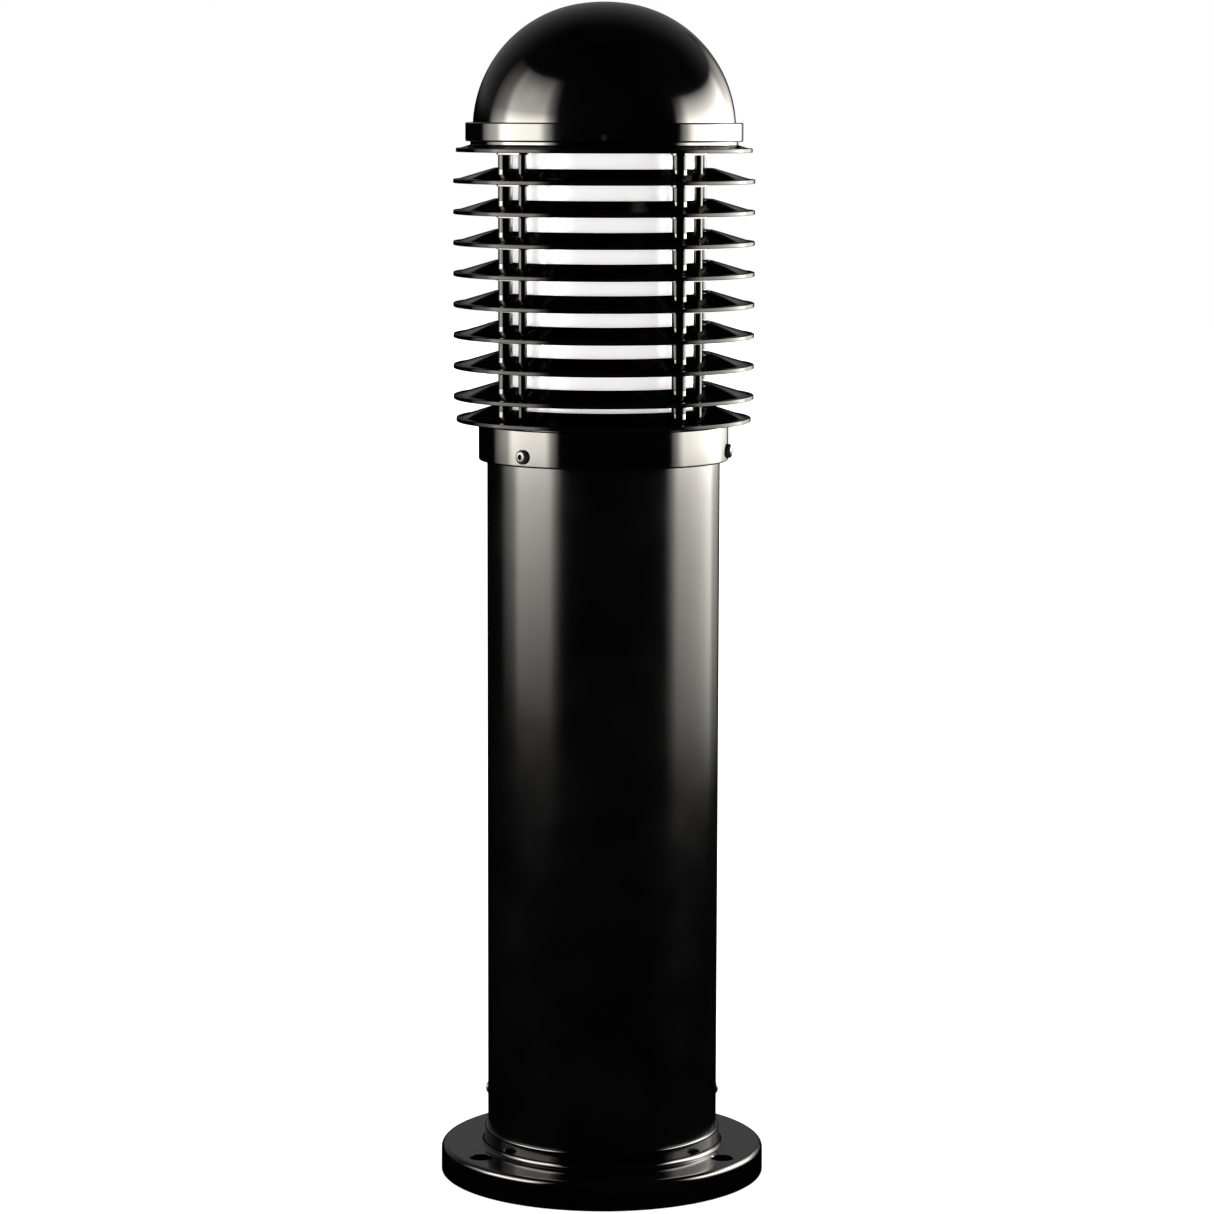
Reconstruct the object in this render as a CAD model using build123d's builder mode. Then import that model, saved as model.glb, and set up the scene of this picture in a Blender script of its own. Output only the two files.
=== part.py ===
"""Louvred bollard light: cast base, tube column, louvred lamp head and lift-off dome.

Millimetres. Z is up. The origin is the centre of the base flange's underside, and the
front is towards -Y. Bearings are degrees from the front, positive towards +X.
"""
from build123d import *
from math import asin, cos, degrees, radians, sin
import os

# ---------------------------------------------------------------- driving dimensions
# Column tube
column_diameter = 203.2
column_wall = 3.2
column_length = 617.0

# Base casting
flange_thickness = 25.0
flange_edge_radius = 5.0
hub_height = 16.0
hub_overhang = 2.6
hub_edge_radius = 2.0
hub_foot_radius = 5.0
spigot_height = 54.0
spigot_wall = 10.0
floor_thickness = 10.0
cable_entry_diameter = 90.0
anchor_count = 3
anchor_first_bearing = 60.0
anchor_hub_offset = 17.8
anchor_edge_offset = 21.0
anchor_hole_diameter = 14.0
anchor_counterbore_diameter = 20.0
anchor_counterbore_depth = 9.0

# Column fixing screws, M6 button heads behind the silhouette
column_screw_bearings = (100.0, 180.0, 260.0)
column_screw_height = 27.0
column_screw_diameter = 6.0
column_screw_length = 12.0
column_screw_head_diameter = 10.5
column_screw_head_height = 3.3

# Earth stud, M8
earth_stud_diameter = 8.0
earth_stud_height = 24.0
earth_stud_offset = 68.0
earth_washer_thickness = 1.6
earth_nut_thickness = 6.5
earth_nut_flats = 13.0

# Head base casting: skirt, deck and the lowest blade
skirt_depth = 23.5
skirt_wall = 7.1
skirt_edge_radius = 1.5
deck_thickness = 8.0
deck_opening_inset = 17.0
seat_outer_height = 6.0
seat_inner_height = 4.0
neck_height = 2.3
neck_step = 2.0

# Louvre blades
louvre_count = 8
louvre_pitch = 26.6
first_louvre_pitch = 19.6
louvre_overhang = 25.3
end_louvre_overhang = 22.9
blade_edge = 3.6
blade_edge_slope = 0.3
blade_rim_width = 4.5
blade_rise = 9.5
blade_heel_radius = 3.0
blade_crest_radius = 1.5
blade_lip_width = 4.0
blade_lip_height = 5.0
blade_lip_inset = 13.9

# Posts: four spacers in every gap, clamped by four long M6 bolts, each with a rod beside it
post_count = 4
post_first_bearing = -52.8
post_inset = 3.6
post_diameter = 12.4
post_boss_height = 12.5
post_pad_drop = 1.6
post_pad_rise = 7.0
post_pad_width = 15.0
rod_bearing_offset = 12.0
rod_diameter = 7.2
rod_seat = 1.0
rod_engagement = 10.0
tie_bolt_diameter = 6.0
tie_bolt_engagement = 9.8
tie_bolt_head_diameter = 10.0
tie_bolt_head_height = 6.0

# Diffuser tube
diffuser_air_gap = 6.5
diffuser_wall = 4.0
diffuser_gap = 1.5
diffuser_gasket_thickness = 2.0
diffuser_groove_depth = 3.8
diffuser_lip_width = 3.0

# Cap ring
cap_ring_height = 16.3
cap_ring_overhang = 14.7
cap_ring_edge_radius = 1.5
cap_neck_overhang = 10.4
cap_neck_height = 9.2
cap_seat_depth = 8.2
cap_inner_thickness = 4.3
cap_under_height = 5.0
cap_bore_wall = 2.2
dome_groove_width = 1.8

# Dome
dome_radius_offset = 8.4
dome_side_inset = 4.8
dome_crown_excess = 31.0
dome_wall = 3.5
dome_rim_thickness = 5.0
dome_gasket_thickness = 2.0
spigot_ring_width = 4.0
spigot_ring_depth = 8.0

# Set screws
collar_screw_count = 3
collar_screw_first_bearing = -39.0
collar_screw_height = 9.0
collar_screw_diameter = 8.0
collar_screw_head_diameter = 12.5
collar_screw_head_height = 4.4
collar_screw_flat_depth = 0.3
dome_screw_count = 3
dome_screw_first_bearing = 0.0
dome_screw_diameter = 5.0
dome_screw_depth = 4.15
dome_screw_recess = 1.0

# Top reflector
reflector_thickness = 1.2
reflector_cone_inset = 6.5
reflector_cone_depth = 14.0
reflector_screw_diameter = 3.0
reflector_screw_length = 6.0
reflector_screw_head_diameter = 4.4
reflector_screw_head_height = 1.4

# Lamp and lampholder
bracket_thickness = 2.0
bracket_rim_height = 6.0
bracket_rim_gap = 1.0
bracket_rim_wall = 1.5
bracket_screw_diameter = 4.0
lampholder_diameter = 44.0
lampholder_height = 56.0
lampholder_cavity_diameter = 18.0
lampholder_cavity_depth = 8.0
lampholder_thread_depth = 8.0
lampholder_foot_height = 6.0
lampholder_foot_inset = 3.0
nipple_diameter = 10.0
nipple_bore = 6.8
nipple_length = 20.0
nipple_nut_flats = 14.0
nipple_nut_thickness = 4.0
lamp_cap_diameter = 26.4
lamp_cap_length = 27.0
socket_shell_wall = 1.0
socket_depth = 30.0
contact_thickness = 2.6
lamp_bulb_diameter = 54.0
lamp_length = 138.0
lamp_neck_length = 24.0
lamp_glass = 1.2
arc_tube_diameter = 16.0
arc_tube_length = 52.0

# Gear tray and control gear; places are (x, depth below the column top)
tray_thickness = 2.0
tray_length = 256.0
tray_side_clearance = 23.4
tray_tab_width = 18.0
tray_tab_depth = 26.0
tray_tab_screw_inset = 5.0
tray_notch_width = 60.0
tray_notch_depth = 38.0
tray_screw_diameter = 4.0
ballast_width = 66.0
ballast_depth = 40.0
ballast_height = 84.0
ballast_window_width = 11.0
ballast_window_height = 52.0
ballast_leg_width = 20.0
ballast_foot = 12.0
ballast_foot_width = 8.0
ballast_screw_spread = 40.0
ballast_centre = (-28.0, 198.0)
coil_overhang = 10.0
ignitor_size = (32.0, 28.0, 64.0)
ignitor_centre = (36.0, 98.0)
ignitor_screw_spread = 40.0
capacitor_diameter = 35.0
capacitor_length = 80.0
capacitor_standoff = 8.0
capacitor_edge_radius = 2.0
capacitor_tag_size = (1.0, 6.0, 9.0)
capacitor_tag_spread = 10.0
capacitor_centre = (38.0, 182.0)
clip_width = 14.0
clip_thickness = 1.5
clip_foot_width = 16.0
terminal_size = (48.0, 18.0, 20.0)
terminal_centre = (-28.0, 106.0)
terminal_ways = 3
terminal_screw_spread = 36.0
terminal_end_width = 7.0
terminal_wire_hole = 3.6
terminal_screw_well = 4.8
terminal_wire_depth = 5.0
clamp_size = (40.0, 9.0, 12.0)
clamp_centre = (36.0, 246.0)
clamp_groove_diameter = 11.0
clamp_screw_spread = 28.0
gear_screw_diameter = 4.0
gear_screw_head_diameter = 7.0
gear_screw_head_height = 2.4
gear_screw_reach = 6.0
lead_diameter = 2.4

# Small edges
soft_edge = 1.0
edge_break = 0.5

# Clearances
slip_gap = 0.3
thread_gap = 0.05
running_gap = 0.05
bolt_gap = 0.3

# ---------------------------------------------------------------- sizes that follow
column_radius = column_diameter / 2
column_bore = column_radius - column_wall
hub_radius = column_radius + hub_overhang
hub_top = flange_thickness + hub_height
anchor_circle = hub_radius + anchor_hub_offset
flange_radius = anchor_circle + anchor_edge_offset
spigot_radius = column_bore - slip_gap
spigot_bore = spigot_radius - spigot_wall
cable_entry_radius = cable_entry_diameter / 2

column_top = hub_top + column_length
skirt_bottom = column_top - skirt_depth
skirt_bore = column_radius + slip_gap
collar_radius = skirt_bore + skirt_wall
deck_top = column_top + deck_thickness
first_blade = deck_top + neck_height

post_circle = collar_radius - post_inset
post_radius = post_diameter / 2
lip_radius = post_circle - blade_lip_inset
crest_radius = lip_radius + blade_lip_width
louvre_radius = post_circle + louvre_overhang
end_louvre_radius = post_circle + end_louvre_overhang
crest_height = blade_edge + blade_rise
louvre_levels = [
    first_blade + first_louvre_pitch + louvre_pitch * step for step in range(louvre_count)
]
top_blade = louvre_levels[-1] + louvre_pitch

diffuser_radius = lip_radius - diffuser_air_gap
diffuser_bore = diffuser_radius - diffuser_wall
groove_outer = diffuser_radius + diffuser_gap
groove_inner = diffuser_bore - diffuser_gap
inner_lip = groove_inner - diffuser_lip_width
deck_opening = groove_inner - deck_opening_inset
lower_groove = deck_top - diffuser_gasket_thickness
upper_groove = top_blade + diffuser_groove_depth

cap_ring_bottom = top_blade + cap_neck_height
cap_ring_top = cap_ring_bottom + cap_ring_height
cap_neck_radius = post_circle + cap_neck_overhang
cap_ring_radius = post_circle + cap_ring_overhang
cap_seat = cap_ring_top - cap_seat_depth
cap_inner_top = upper_groove + cap_inner_thickness
dome_radius = post_circle + dome_radius_offset
dome_side_radius = dome_radius - dome_side_inset
dome_crown_radius = dome_side_radius + dome_crown_excess
dome_rim = cap_seat + dome_gasket_thickness
tie_bolt_clear = post_circle - tie_bolt_head_diameter / 2 - bolt_gap
cap_bore = tie_bolt_clear - cap_bore_wall
ring_groove_radius = dome_radius + dome_groove_width
spigot_ring_radius = cap_bore - slip_gap
spigot_ring_bore = spigot_ring_radius - spigot_ring_width
cap_under = top_blade + cap_under_height
dome_screw_level = cap_seat - dome_screw_depth

reflector_cone_radius = inner_lip - reflector_cone_inset

bracket_top = deck_top + bracket_thickness
socket_top = bracket_top + lampholder_height
socket_bottom = socket_top - socket_depth
lamp_cap_radius = lamp_cap_diameter / 2
shell_bore = lamp_cap_radius + running_gap
shell_radius = shell_bore + socket_shell_wall
lamp_cap_top = socket_top
lamp_cap_bottom = lamp_cap_top - lamp_cap_length
tray_half_width = column_bore - tray_side_clearance
tray_bottom = column_top - tray_length


# ---------------------------------------------------------------- helpers
def bearing_point(bearing, radius, height=0.0):
    """The point at a bearing from the front, at a radius and a height."""
    turn = radians(bearing)
    return (radius * sin(turn), -radius * cos(turn), height)


def outward_plane(bearing, radius, height):
    """A plane at a bearing whose normal points away from the axis."""
    return Plane(
        origin=bearing_point(bearing, radius, height),
        x_dir=(0, 0, 1),
        z_dir=bearing_point(bearing, 1.0),
    )


def spread(first, count):
    """Bearings of equally spaced features."""
    return [first + 360.0 / count * step for step in range(count)]


def post_locations(height):
    """Where the four posts stand, at one height."""
    return Locations(
        *[bearing_point(turn, post_circle, height) for turn in spread(post_first_bearing, post_count)]
    )


def rod_locations(height):
    """Where the rods beside the posts stand, at one height."""
    first = post_first_bearing + rod_bearing_offset
    return Locations(
        *[bearing_point(turn, post_circle, height) for turn in spread(first, post_count)]
    )


def save(piece, node):
    """Label a finished piece and write it as its own node."""
    piece.part.label = node
    export_step(piece.part, f"parts/{node}.step")


def tube(outer, inner, low, high):
    """A plain ring on the axis between two heights."""
    with BuildPart() as piece:
        with BuildSketch(Plane.XY.offset(low)):
            Circle(outer)
            Circle(inner, mode=Mode.SUBTRACT)
        extrude(amount=high - low)
    return piece


def turned(corners):
    """A body of revolution from (radius, height, corner radius) points."""
    with BuildPart() as piece:
        with BuildSketch(Plane.XZ):
            with BuildLine():
                FilletPolyline(
                    *[(radius, height) for radius, height, _ in corners],
                    radius=[corner for _, _, corner in corners],
                    close=True,
                )
            make_face()
        revolve(axis=Axis.Z)
    return piece


def button_screw(plane, shank_diameter, shank_length, head_diameter, head_height):
    """A button-head socket screw whose head sits on the plane."""
    with BuildPart(plane) as screw:
        Cylinder(
            shank_diameter / 2, shank_length, align=(Align.CENTER, Align.CENTER, Align.MAX)
        )
        Cylinder(
            head_diameter / 2, head_height, align=(Align.CENTER, Align.CENTER, Align.MIN)
        )
        crown = screw.faces().sort_by(Axis(plane.origin, plane.z_dir))[-1]
        fillet(crown.edges(), head_height * 0.7)
        with BuildSketch(plane.offset(head_height)):
            RegularPolygon(head_diameter * 0.22, 6)
        extrude(amount=-head_height * 0.6, mode=Mode.SUBTRACT)
    return screw


def grouped(pieces):
    """Several like solids in one node."""
    with BuildPart() as group:
        for piece in pieces:
            add(piece.part)
    return group


def route_radii(points):
    """The largest bend radius that each corner of a lead's route leaves room for."""
    radii = []
    for before, corner, after in zip(points, points[1:], points[2:]):
        run_in = Vector(*corner) - Vector(*before)
        run_out = Vector(*after) - Vector(*corner)
        half_turn = radians(run_in.get_angle(run_out)) / 2
        shorter = min(run_in.length, run_out.length)
        radii.append(0.45 * shorter * cos(half_turn) / sin(half_turn))
    return radii


def lead(points, diameter):
    """A flexible lead along straight runs joined by arcs."""
    with BuildPart() as piece:
        with BuildLine() as route:
            FilletPolyline(*points, radius=route_radii(points))
        with BuildSketch(Plane(origin=route.wire() @ 0, z_dir=route.wire() % 0)):
            Circle(diameter / 2)
        sweep(path=route.wire())
    return piece


def tray_point(centre, depth):
    """A point on the gear tray: (x, depth below the column top) and distance to the front."""
    return (centre[0], -depth, column_top - centre[1])


# ---------------------------------------------------------------- base
def make_base_casting():
    """Flange, hub and spigot in one casting, open in the middle for the supply cable."""
    spigot_top = hub_top + spigot_height
    casting = turned(
        [
            (cable_entry_radius, 0, soft_edge),
            (flange_radius, 0, soft_edge),
            (flange_radius, flange_thickness, flange_edge_radius),
            (hub_radius, flange_thickness, hub_foot_radius),
            (hub_radius, hub_top, hub_edge_radius),
            (spigot_radius, hub_top, 0),
            (spigot_radius, spigot_top, 1.5),
            (spigot_bore, spigot_top, 1.5),
            (spigot_bore, floor_thickness, 3.0),
            (cable_entry_radius, floor_thickness, soft_edge),
        ]
    )
    screw_level = hub_top + column_screw_height
    with casting:
        anchors = spread(anchor_first_bearing, anchor_count)
        with Locations(*[bearing_point(turn, anchor_circle, flange_thickness) for turn in anchors]):
            CounterBoreHole(
                anchor_hole_diameter / 2,
                anchor_counterbore_diameter / 2,
                anchor_counterbore_depth,
            )
        with Locations(*[outward_plane(turn, column_radius, screw_level)
                         for turn in column_screw_bearings]):
            Cylinder(
                column_screw_diameter / 2 + thread_gap,
                column_screw_length + 1,
                align=(Align.CENTER, Align.CENTER, Align.MAX),
                mode=Mode.SUBTRACT,
            )
        with Locations(bearing_point(180, earth_stud_offset, floor_thickness)):
            Hole(earth_stud_diameter / 2 + thread_gap, floor_thickness / 2)
    return casting


def make_column_tube():
    """The plain tube, drilled near its foot for the fixing screws."""
    column = tube(column_radius, column_bore, hub_top, column_top)
    screw_level = hub_top + column_screw_height
    with column:
        with Locations(*[outward_plane(turn, column_radius + 1, screw_level)
                         for turn in column_screw_bearings]):
            Cylinder(
                column_screw_diameter / 2 + bolt_gap,
                column_wall + 3,
                align=(Align.CENTER, Align.CENTER, Align.MAX),
                mode=Mode.SUBTRACT,
            )
    return column


def make_column_screws():
    """Button-head screws through the tube into the spigot."""
    return grouped(
        [
            button_screw(
                outward_plane(turn, column_radius, hub_top + column_screw_height),
                column_screw_diameter,
                column_screw_length,
                column_screw_head_diameter,
                column_screw_head_height,
            )
            for turn in column_screw_bearings
        ]
    )


def make_earth_stud():
    """Earth stud in the floor of the base with its washer and nut."""
    centre = bearing_point(180, earth_stud_offset)
    radius = earth_stud_diameter / 2
    washer_low = floor_thickness + thread_gap
    nut_low = washer_low + earth_washer_thickness + thread_gap
    with BuildPart() as stud:
        with BuildSketch(Plane.XY.offset(floor_thickness / 2)):
            with Locations(centre[:2]):
                Circle(radius)
        extrude(amount=floor_thickness / 2 + earth_stud_height)
        chamfer(stud.edges().sort_by(Axis.Z)[-1], 0.8)
        with BuildSketch(Plane.XY.offset(washer_low)):
            with Locations(centre[:2]):
                Circle(radius * 2)
                Circle(radius + thread_gap, mode=Mode.SUBTRACT)
        extrude(amount=earth_washer_thickness)
        with BuildSketch(Plane.XY.offset(nut_low)):
            with Locations(centre[:2]):
                RegularPolygon(earth_nut_flats / 2, 6, major_radius=False)
                Circle(radius + thread_gap, mode=Mode.SUBTRACT)
        extrude(amount=earth_nut_thickness)
    return stud


# ---------------------------------------------------------------- louvred head
def blade_top(tip_radius, level):
    """Corners of a blade's upper side, from its edge up to its crest."""
    return [
        (tip_radius, level, 0.6),
        (tip_radius, level + blade_edge, 0.8),
        (tip_radius - blade_rim_width, level + blade_edge + blade_edge_slope, blade_heel_radius),
        (crest_radius, level + crest_height, blade_crest_radius),
    ]


def add_post_bosses(casting, level, height):
    """Round bosses that the post spacers land on."""
    with casting:
        with post_locations(level):
            Cylinder(post_radius, height, align=(Align.CENTER, Align.CENTER, Align.MIN))


def add_post_pads(casting, level, rise):
    """Oblong pads under a blade, each round a post and the rod beside it."""
    between = 2 * post_circle * sin(radians(rod_bearing_offset / 2))
    middle = post_circle * cos(radians(rod_bearing_offset / 2))
    first = post_first_bearing + rod_bearing_offset / 2
    with BuildSketch(Plane.XY.offset(level - post_pad_drop)) as pads:
        for turn in spread(first, post_count):
            with Locations(Location(bearing_point(turn, middle), (0, 0, turn))):
                SlotCenterToCenter(between, post_pad_width)
    with casting:
        extrude(pads.sketch, amount=post_pad_drop + rise)


def make_head_base():
    """Skirt over the column, deck with the diffuser's seat, and the lowest blade."""
    casting = turned(
        [
            (skirt_bore, skirt_bottom, edge_break),
            (collar_radius, skirt_bottom, skirt_edge_radius),
            (collar_radius, deck_top, soft_edge),
            (collar_radius - neck_step, deck_top, 0),
            (collar_radius - neck_step, first_blade, 0),
            *blade_top(end_louvre_radius, first_blade),
            (lip_radius, first_blade + crest_height, soft_edge),
            (lip_radius, deck_top + seat_outer_height, soft_edge),
            (groove_outer, deck_top + seat_outer_height, edge_break),
            (groove_outer, lower_groove, 0),
            (groove_inner, lower_groove, 0),
            (groove_inner, deck_top + seat_inner_height, edge_break),
            (inner_lip, deck_top + seat_inner_height, edge_break),
            (inner_lip, deck_top, 0),
            (deck_opening, deck_top, edge_break),
            (deck_opening, column_top, edge_break),
            (skirt_bore, column_top, 0),
        ]
    )
    add_post_bosses(casting, first_blade, post_boss_height)
    screw_level = skirt_bottom + collar_screw_height
    bearings = spread(collar_screw_first_bearing, collar_screw_count)
    with casting:
        with post_locations(first_blade + post_boss_height):
            Hole(tie_bolt_diameter / 2 + thread_gap, tie_bolt_engagement)
        with rod_locations(first_blade + crest_height):
            Hole(rod_diameter / 2 + thread_gap, crest_height - rod_seat)
        with Locations(*[outward_plane(turn, collar_radius + 1, screw_level) for turn in bearings]):
            Cylinder(
                collar_screw_diameter / 2 + thread_gap,
                skirt_wall + 3,
                align=(Align.CENTER, Align.CENTER, Align.MAX),
                mode=Mode.SUBTRACT,
            )
            Cylinder(
                collar_screw_head_diameter / 2 + 0.5,
                1 + collar_screw_flat_depth,
                align=(Align.CENTER, Align.CENTER, Align.MAX),
                mode=Mode.SUBTRACT,
            )
        with Locations(*[bearing_point(turn, bracket_circle, deck_top) for turn in bracket_bearings]):
            Hole(bracket_screw_diameter / 2 + thread_gap, deck_thickness - 1)
        with Locations(*[Plane(origin=point, z_dir=(0, 0, -1)) for point in tray_screw_points()]):
            Hole(tray_screw_diameter / 2 + thread_gap, deck_thickness - 1)
    return casting


def make_collar_screw(bearing):
    """Button-head set screw that grips the column through the skirt."""
    seat = collar_radius - collar_screw_flat_depth
    return button_screw(
        outward_plane(bearing, seat, skirt_bottom + collar_screw_height),
        collar_screw_diameter,
        seat - skirt_bore,
        collar_screw_head_diameter,
        collar_screw_head_height,
    )


def make_louvre(level):
    """One cast louvre ring: a thin sloping blade with an inner lip and four bosses."""
    lip_outer = lip_radius + blade_lip_width * 0.75
    ring = turned(
        [
            *blade_top(louvre_radius, level),
            (lip_radius, level + crest_height, soft_edge),
            (lip_radius, level + blade_lip_height, soft_edge),
            (lip_outer, level + blade_lip_height, soft_edge),
            (lip_outer, level + crest_height - blade_edge, soft_edge),
            (louvre_radius - blade_rim_width, level, blade_heel_radius),
        ]
    )
    add_post_bosses(ring, level, post_boss_height)
    add_post_pads(ring, level, post_pad_rise)
    with ring:
        with post_locations(level + post_boss_height):
            Hole(tie_bolt_diameter / 2 + bolt_gap)
        with rod_locations(level + crest_height):
            Hole(rod_diameter / 2 + bolt_gap)
    return ring


def make_spacers(levels):
    """Tubular post spacers between neighbouring blades, four to a gap."""
    with BuildPart() as spacers:
        for low, high in levels:
            with BuildSketch(Plane.XY.offset(low + post_boss_height)):
                with post_locations(0):
                    Circle(post_radius)
                    Circle(tie_bolt_diameter / 2 + bolt_gap, mode=Mode.SUBTRACT)
            extrude(amount=high - low - post_boss_height - post_pad_drop)
    return spacers


def make_locating_rods():
    """Four plain rods through every blade, which keep the louvres in line."""
    foot = first_blade + rod_seat
    with BuildPart() as rods:
        with BuildSketch(Plane.XY.offset(foot)):
            with rod_locations(0):
                Circle(rod_diameter / 2)
        extrude(amount=top_blade + rod_engagement - foot)
    return rods


def make_tie_bolts():
    """Four long bolts that clamp cap ring, louvres and spacers onto the head base."""
    head_low = cap_seat - tie_bolt_head_height
    foot = first_blade + post_boss_height - tie_bolt_engagement
    with BuildPart() as bolts:
        with BuildSketch(Plane.XY.offset(foot)):
            with post_locations(0):
                Circle(tie_bolt_diameter / 2)
        extrude(amount=head_low - foot)
        with BuildSketch(Plane.XY.offset(head_low)):
            with post_locations(0):
                Circle(tie_bolt_head_diameter / 2)
        extrude(amount=tie_bolt_head_height)
        with BuildSketch(Plane.XY.offset(cap_seat)):
            with post_locations(0):
                RegularPolygon(tie_bolt_diameter * 0.48, 6)
        extrude(amount=-tie_bolt_head_height / 2, mode=Mode.SUBTRACT)
    return bolts


def make_cap_ring():
    """Top casting: highest blade, neck, rim and the dome's seat."""
    slope = blade_rise - blade_edge_slope
    run = end_louvre_radius - blade_rim_width - crest_radius
    neck_foot = (
        top_blade
        + blade_edge
        + blade_edge_slope
        + slope * (end_louvre_radius - blade_rim_width - cap_neck_radius) / run
    )
    casting = turned(
        [
            *blade_top(end_louvre_radius, top_blade)[:3],
            (cap_neck_radius, neck_foot, 0),
            (cap_neck_radius, cap_ring_bottom, 0),
            (cap_ring_radius, cap_ring_bottom, cap_ring_edge_radius),
            (cap_ring_radius, cap_ring_top, cap_ring_edge_radius),
            (ring_groove_radius, cap_ring_top, edge_break),
            (ring_groove_radius, cap_seat, 0),
            (cap_bore, cap_seat, edge_break),
            (cap_bore, cap_inner_top, 0),
            (inner_lip, cap_inner_top, edge_break),
            (inner_lip, top_blade, edge_break),
            (groove_inner, top_blade, 0),
            (groove_inner, upper_groove, 0),
            (groove_outer, upper_groove, 0),
            (groove_outer, top_blade, edge_break),
            (lip_radius, top_blade, edge_break),
            (lip_radius, cap_under, soft_edge),
            (lip_radius + 2 * blade_lip_width, cap_under, soft_edge),
            (end_louvre_radius - blade_rim_width, top_blade, blade_heel_radius),
        ]
    )
    add_post_bosses(casting, top_blade, cap_neck_height)
    add_post_pads(casting, top_blade, post_pad_rise)
    with casting:
        with rod_locations(top_blade + rod_engagement):
            Cylinder(
                rod_diameter / 2 + thread_gap,
                rod_engagement + 2 * post_pad_drop,
                align=(Align.CENTER, Align.CENTER, Align.MAX),
                mode=Mode.SUBTRACT,
            )
        with post_locations(cap_seat):
            CounterBoreHole(
                tie_bolt_diameter / 2 + bolt_gap,
                tie_bolt_head_diameter / 2 + bolt_gap,
                tie_bolt_head_height,
            )
        with Locations(*[outward_plane(turn, cap_ring_radius + 1, dome_screw_level)
                         for turn in spread(dome_screw_first_bearing, dome_screw_count)]):
            Cylinder(
                dome_screw_diameter / 2 + thread_gap,
                cap_ring_radius + 2 - cap_bore,
                align=(Align.CENTER, Align.CENTER, Align.MAX),
                mode=Mode.SUBTRACT,
            )
    return casting


# ---------------------------------------------------------------- dome
def dome_arcs(wall):
    """Side arc and crown arc of the dome, moved inwards by a wall thickness."""
    tilt = asin(dome_side_inset / dome_crown_excess)
    drop = dome_crown_excess * cos(tilt)
    start = degrees(asin(dome_rim_thickness / (dome_side_radius - wall))) if wall else 0.0
    join = 90 - degrees(tilt)
    side = ((dome_side_inset, dome_rim), dome_side_radius - wall, start, join - start)
    crown = ((0, dome_rim - drop), dome_crown_radius - wall, join, 90 - join)
    return side, crown


def make_dome_shell():
    """Cast dome with an inner rim and a spigot ring that drops into the cap ring."""
    outer_side, outer_crown = dome_arcs(0)
    inner_side, inner_crown = dome_arcs(dome_wall)
    spigot_low = dome_rim - spigot_ring_depth
    with BuildPart() as dome:
        with BuildSketch(Plane.XZ):
            with BuildLine():
                side = CenterArc(*outer_side)
                crown = CenterArc(*outer_crown)
                ceiling = CenterArc(*inner_crown)
                wall = CenterArc(*inner_side)
                Line(crown @ 1, ceiling @ 1)
                Polyline(
                    wall @ 0,
                    (spigot_ring_bore, dome_rim + dome_rim_thickness),
                    (spigot_ring_bore, spigot_low),
                    (spigot_ring_radius, spigot_low),
                    (spigot_ring_radius, dome_rim),
                    side @ 0,
                )
            make_face()
        revolve(axis=Axis.Z)
        with Locations(*[Plane(origin=bearing_point(turn, reflector_screw_circle, spigot_low),
                               z_dir=(0, 0, -1)) for turn in reflector_bearings]):
            Hole(reflector_screw_diameter / 2 + thread_gap, reflector_screw_length)
    return dome


def make_dome_screw(bearing):
    """Headless set screw in the cap ring that holds the dome's spigot ring."""
    mouth = cap_ring_radius - dome_screw_recess
    with BuildPart(outward_plane(bearing, mouth, dome_screw_level)) as screw:
        Cylinder(
            dome_screw_diameter / 2,
            mouth - cap_bore - thread_gap,
            align=(Align.CENTER, Align.CENTER, Align.MAX),
        )
        with BuildSketch(outward_plane(bearing, mouth, dome_screw_level)):
            RegularPolygon(dome_screw_diameter * 0.28, 6)
        extrude(amount=-dome_screw_diameter / 2, mode=Mode.SUBTRACT)
    return screw


def make_top_reflector():
    """Thin dished reflector under the dome that throws the light outwards."""
    high = dome_rim - spigot_ring_depth
    low = high - reflector_thickness
    brim = spigot_ring_radius - slip_gap
    disc = turned(
        [
            (0, high - reflector_cone_depth, 0),
            (reflector_cone_radius, high, 2.0),
            (brim, high, 0),
            (brim, low, 0),
            (reflector_cone_radius, low, 2.0),
            (0, low - reflector_cone_depth, 0),
        ]
    )
    with disc:
        with Locations(*[bearing_point(turn, reflector_screw_circle, high)
                         for turn in reflector_bearings]):
            Hole(reflector_screw_diameter / 2 + 0.1, 2 * reflector_thickness)
    return disc


def pan_screw(plane, diameter, reach, head_diameter, head_height):
    """A small pan-head screw whose head stands on the plane."""
    with BuildPart(plane) as screw:
        Cylinder(diameter / 2, reach, align=(Align.CENTER, Align.CENTER, Align.MAX))
        Cylinder(head_diameter / 2, head_height, align=(Align.CENTER, Align.CENTER, Align.MIN))
        crown = screw.faces().sort_by(Axis(plane.origin, plane.z_dir))[-1]
        fillet(crown.edges(), head_height * 0.4)
        with BuildSketch(plane.offset(head_height)):
            Rectangle(head_diameter * 0.6, head_diameter * 0.12)
            Rectangle(head_diameter * 0.12, head_diameter * 0.6)
        extrude(amount=-head_height * 0.5, mode=Mode.SUBTRACT)
    return screw


def make_reflector_screws():
    """Screws up through the reflector's brim into the dome's spigot ring."""
    seat = dome_rim - spigot_ring_depth - reflector_thickness
    return grouped(
        [
            pan_screw(
                Plane(origin=bearing_point(turn, reflector_screw_circle, seat), z_dir=(0, 0, -1)),
                reflector_screw_diameter,
                reflector_screw_length,
                reflector_screw_head_diameter,
                reflector_screw_head_height,
            )
            for turn in reflector_bearings
        ]
    )


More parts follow.
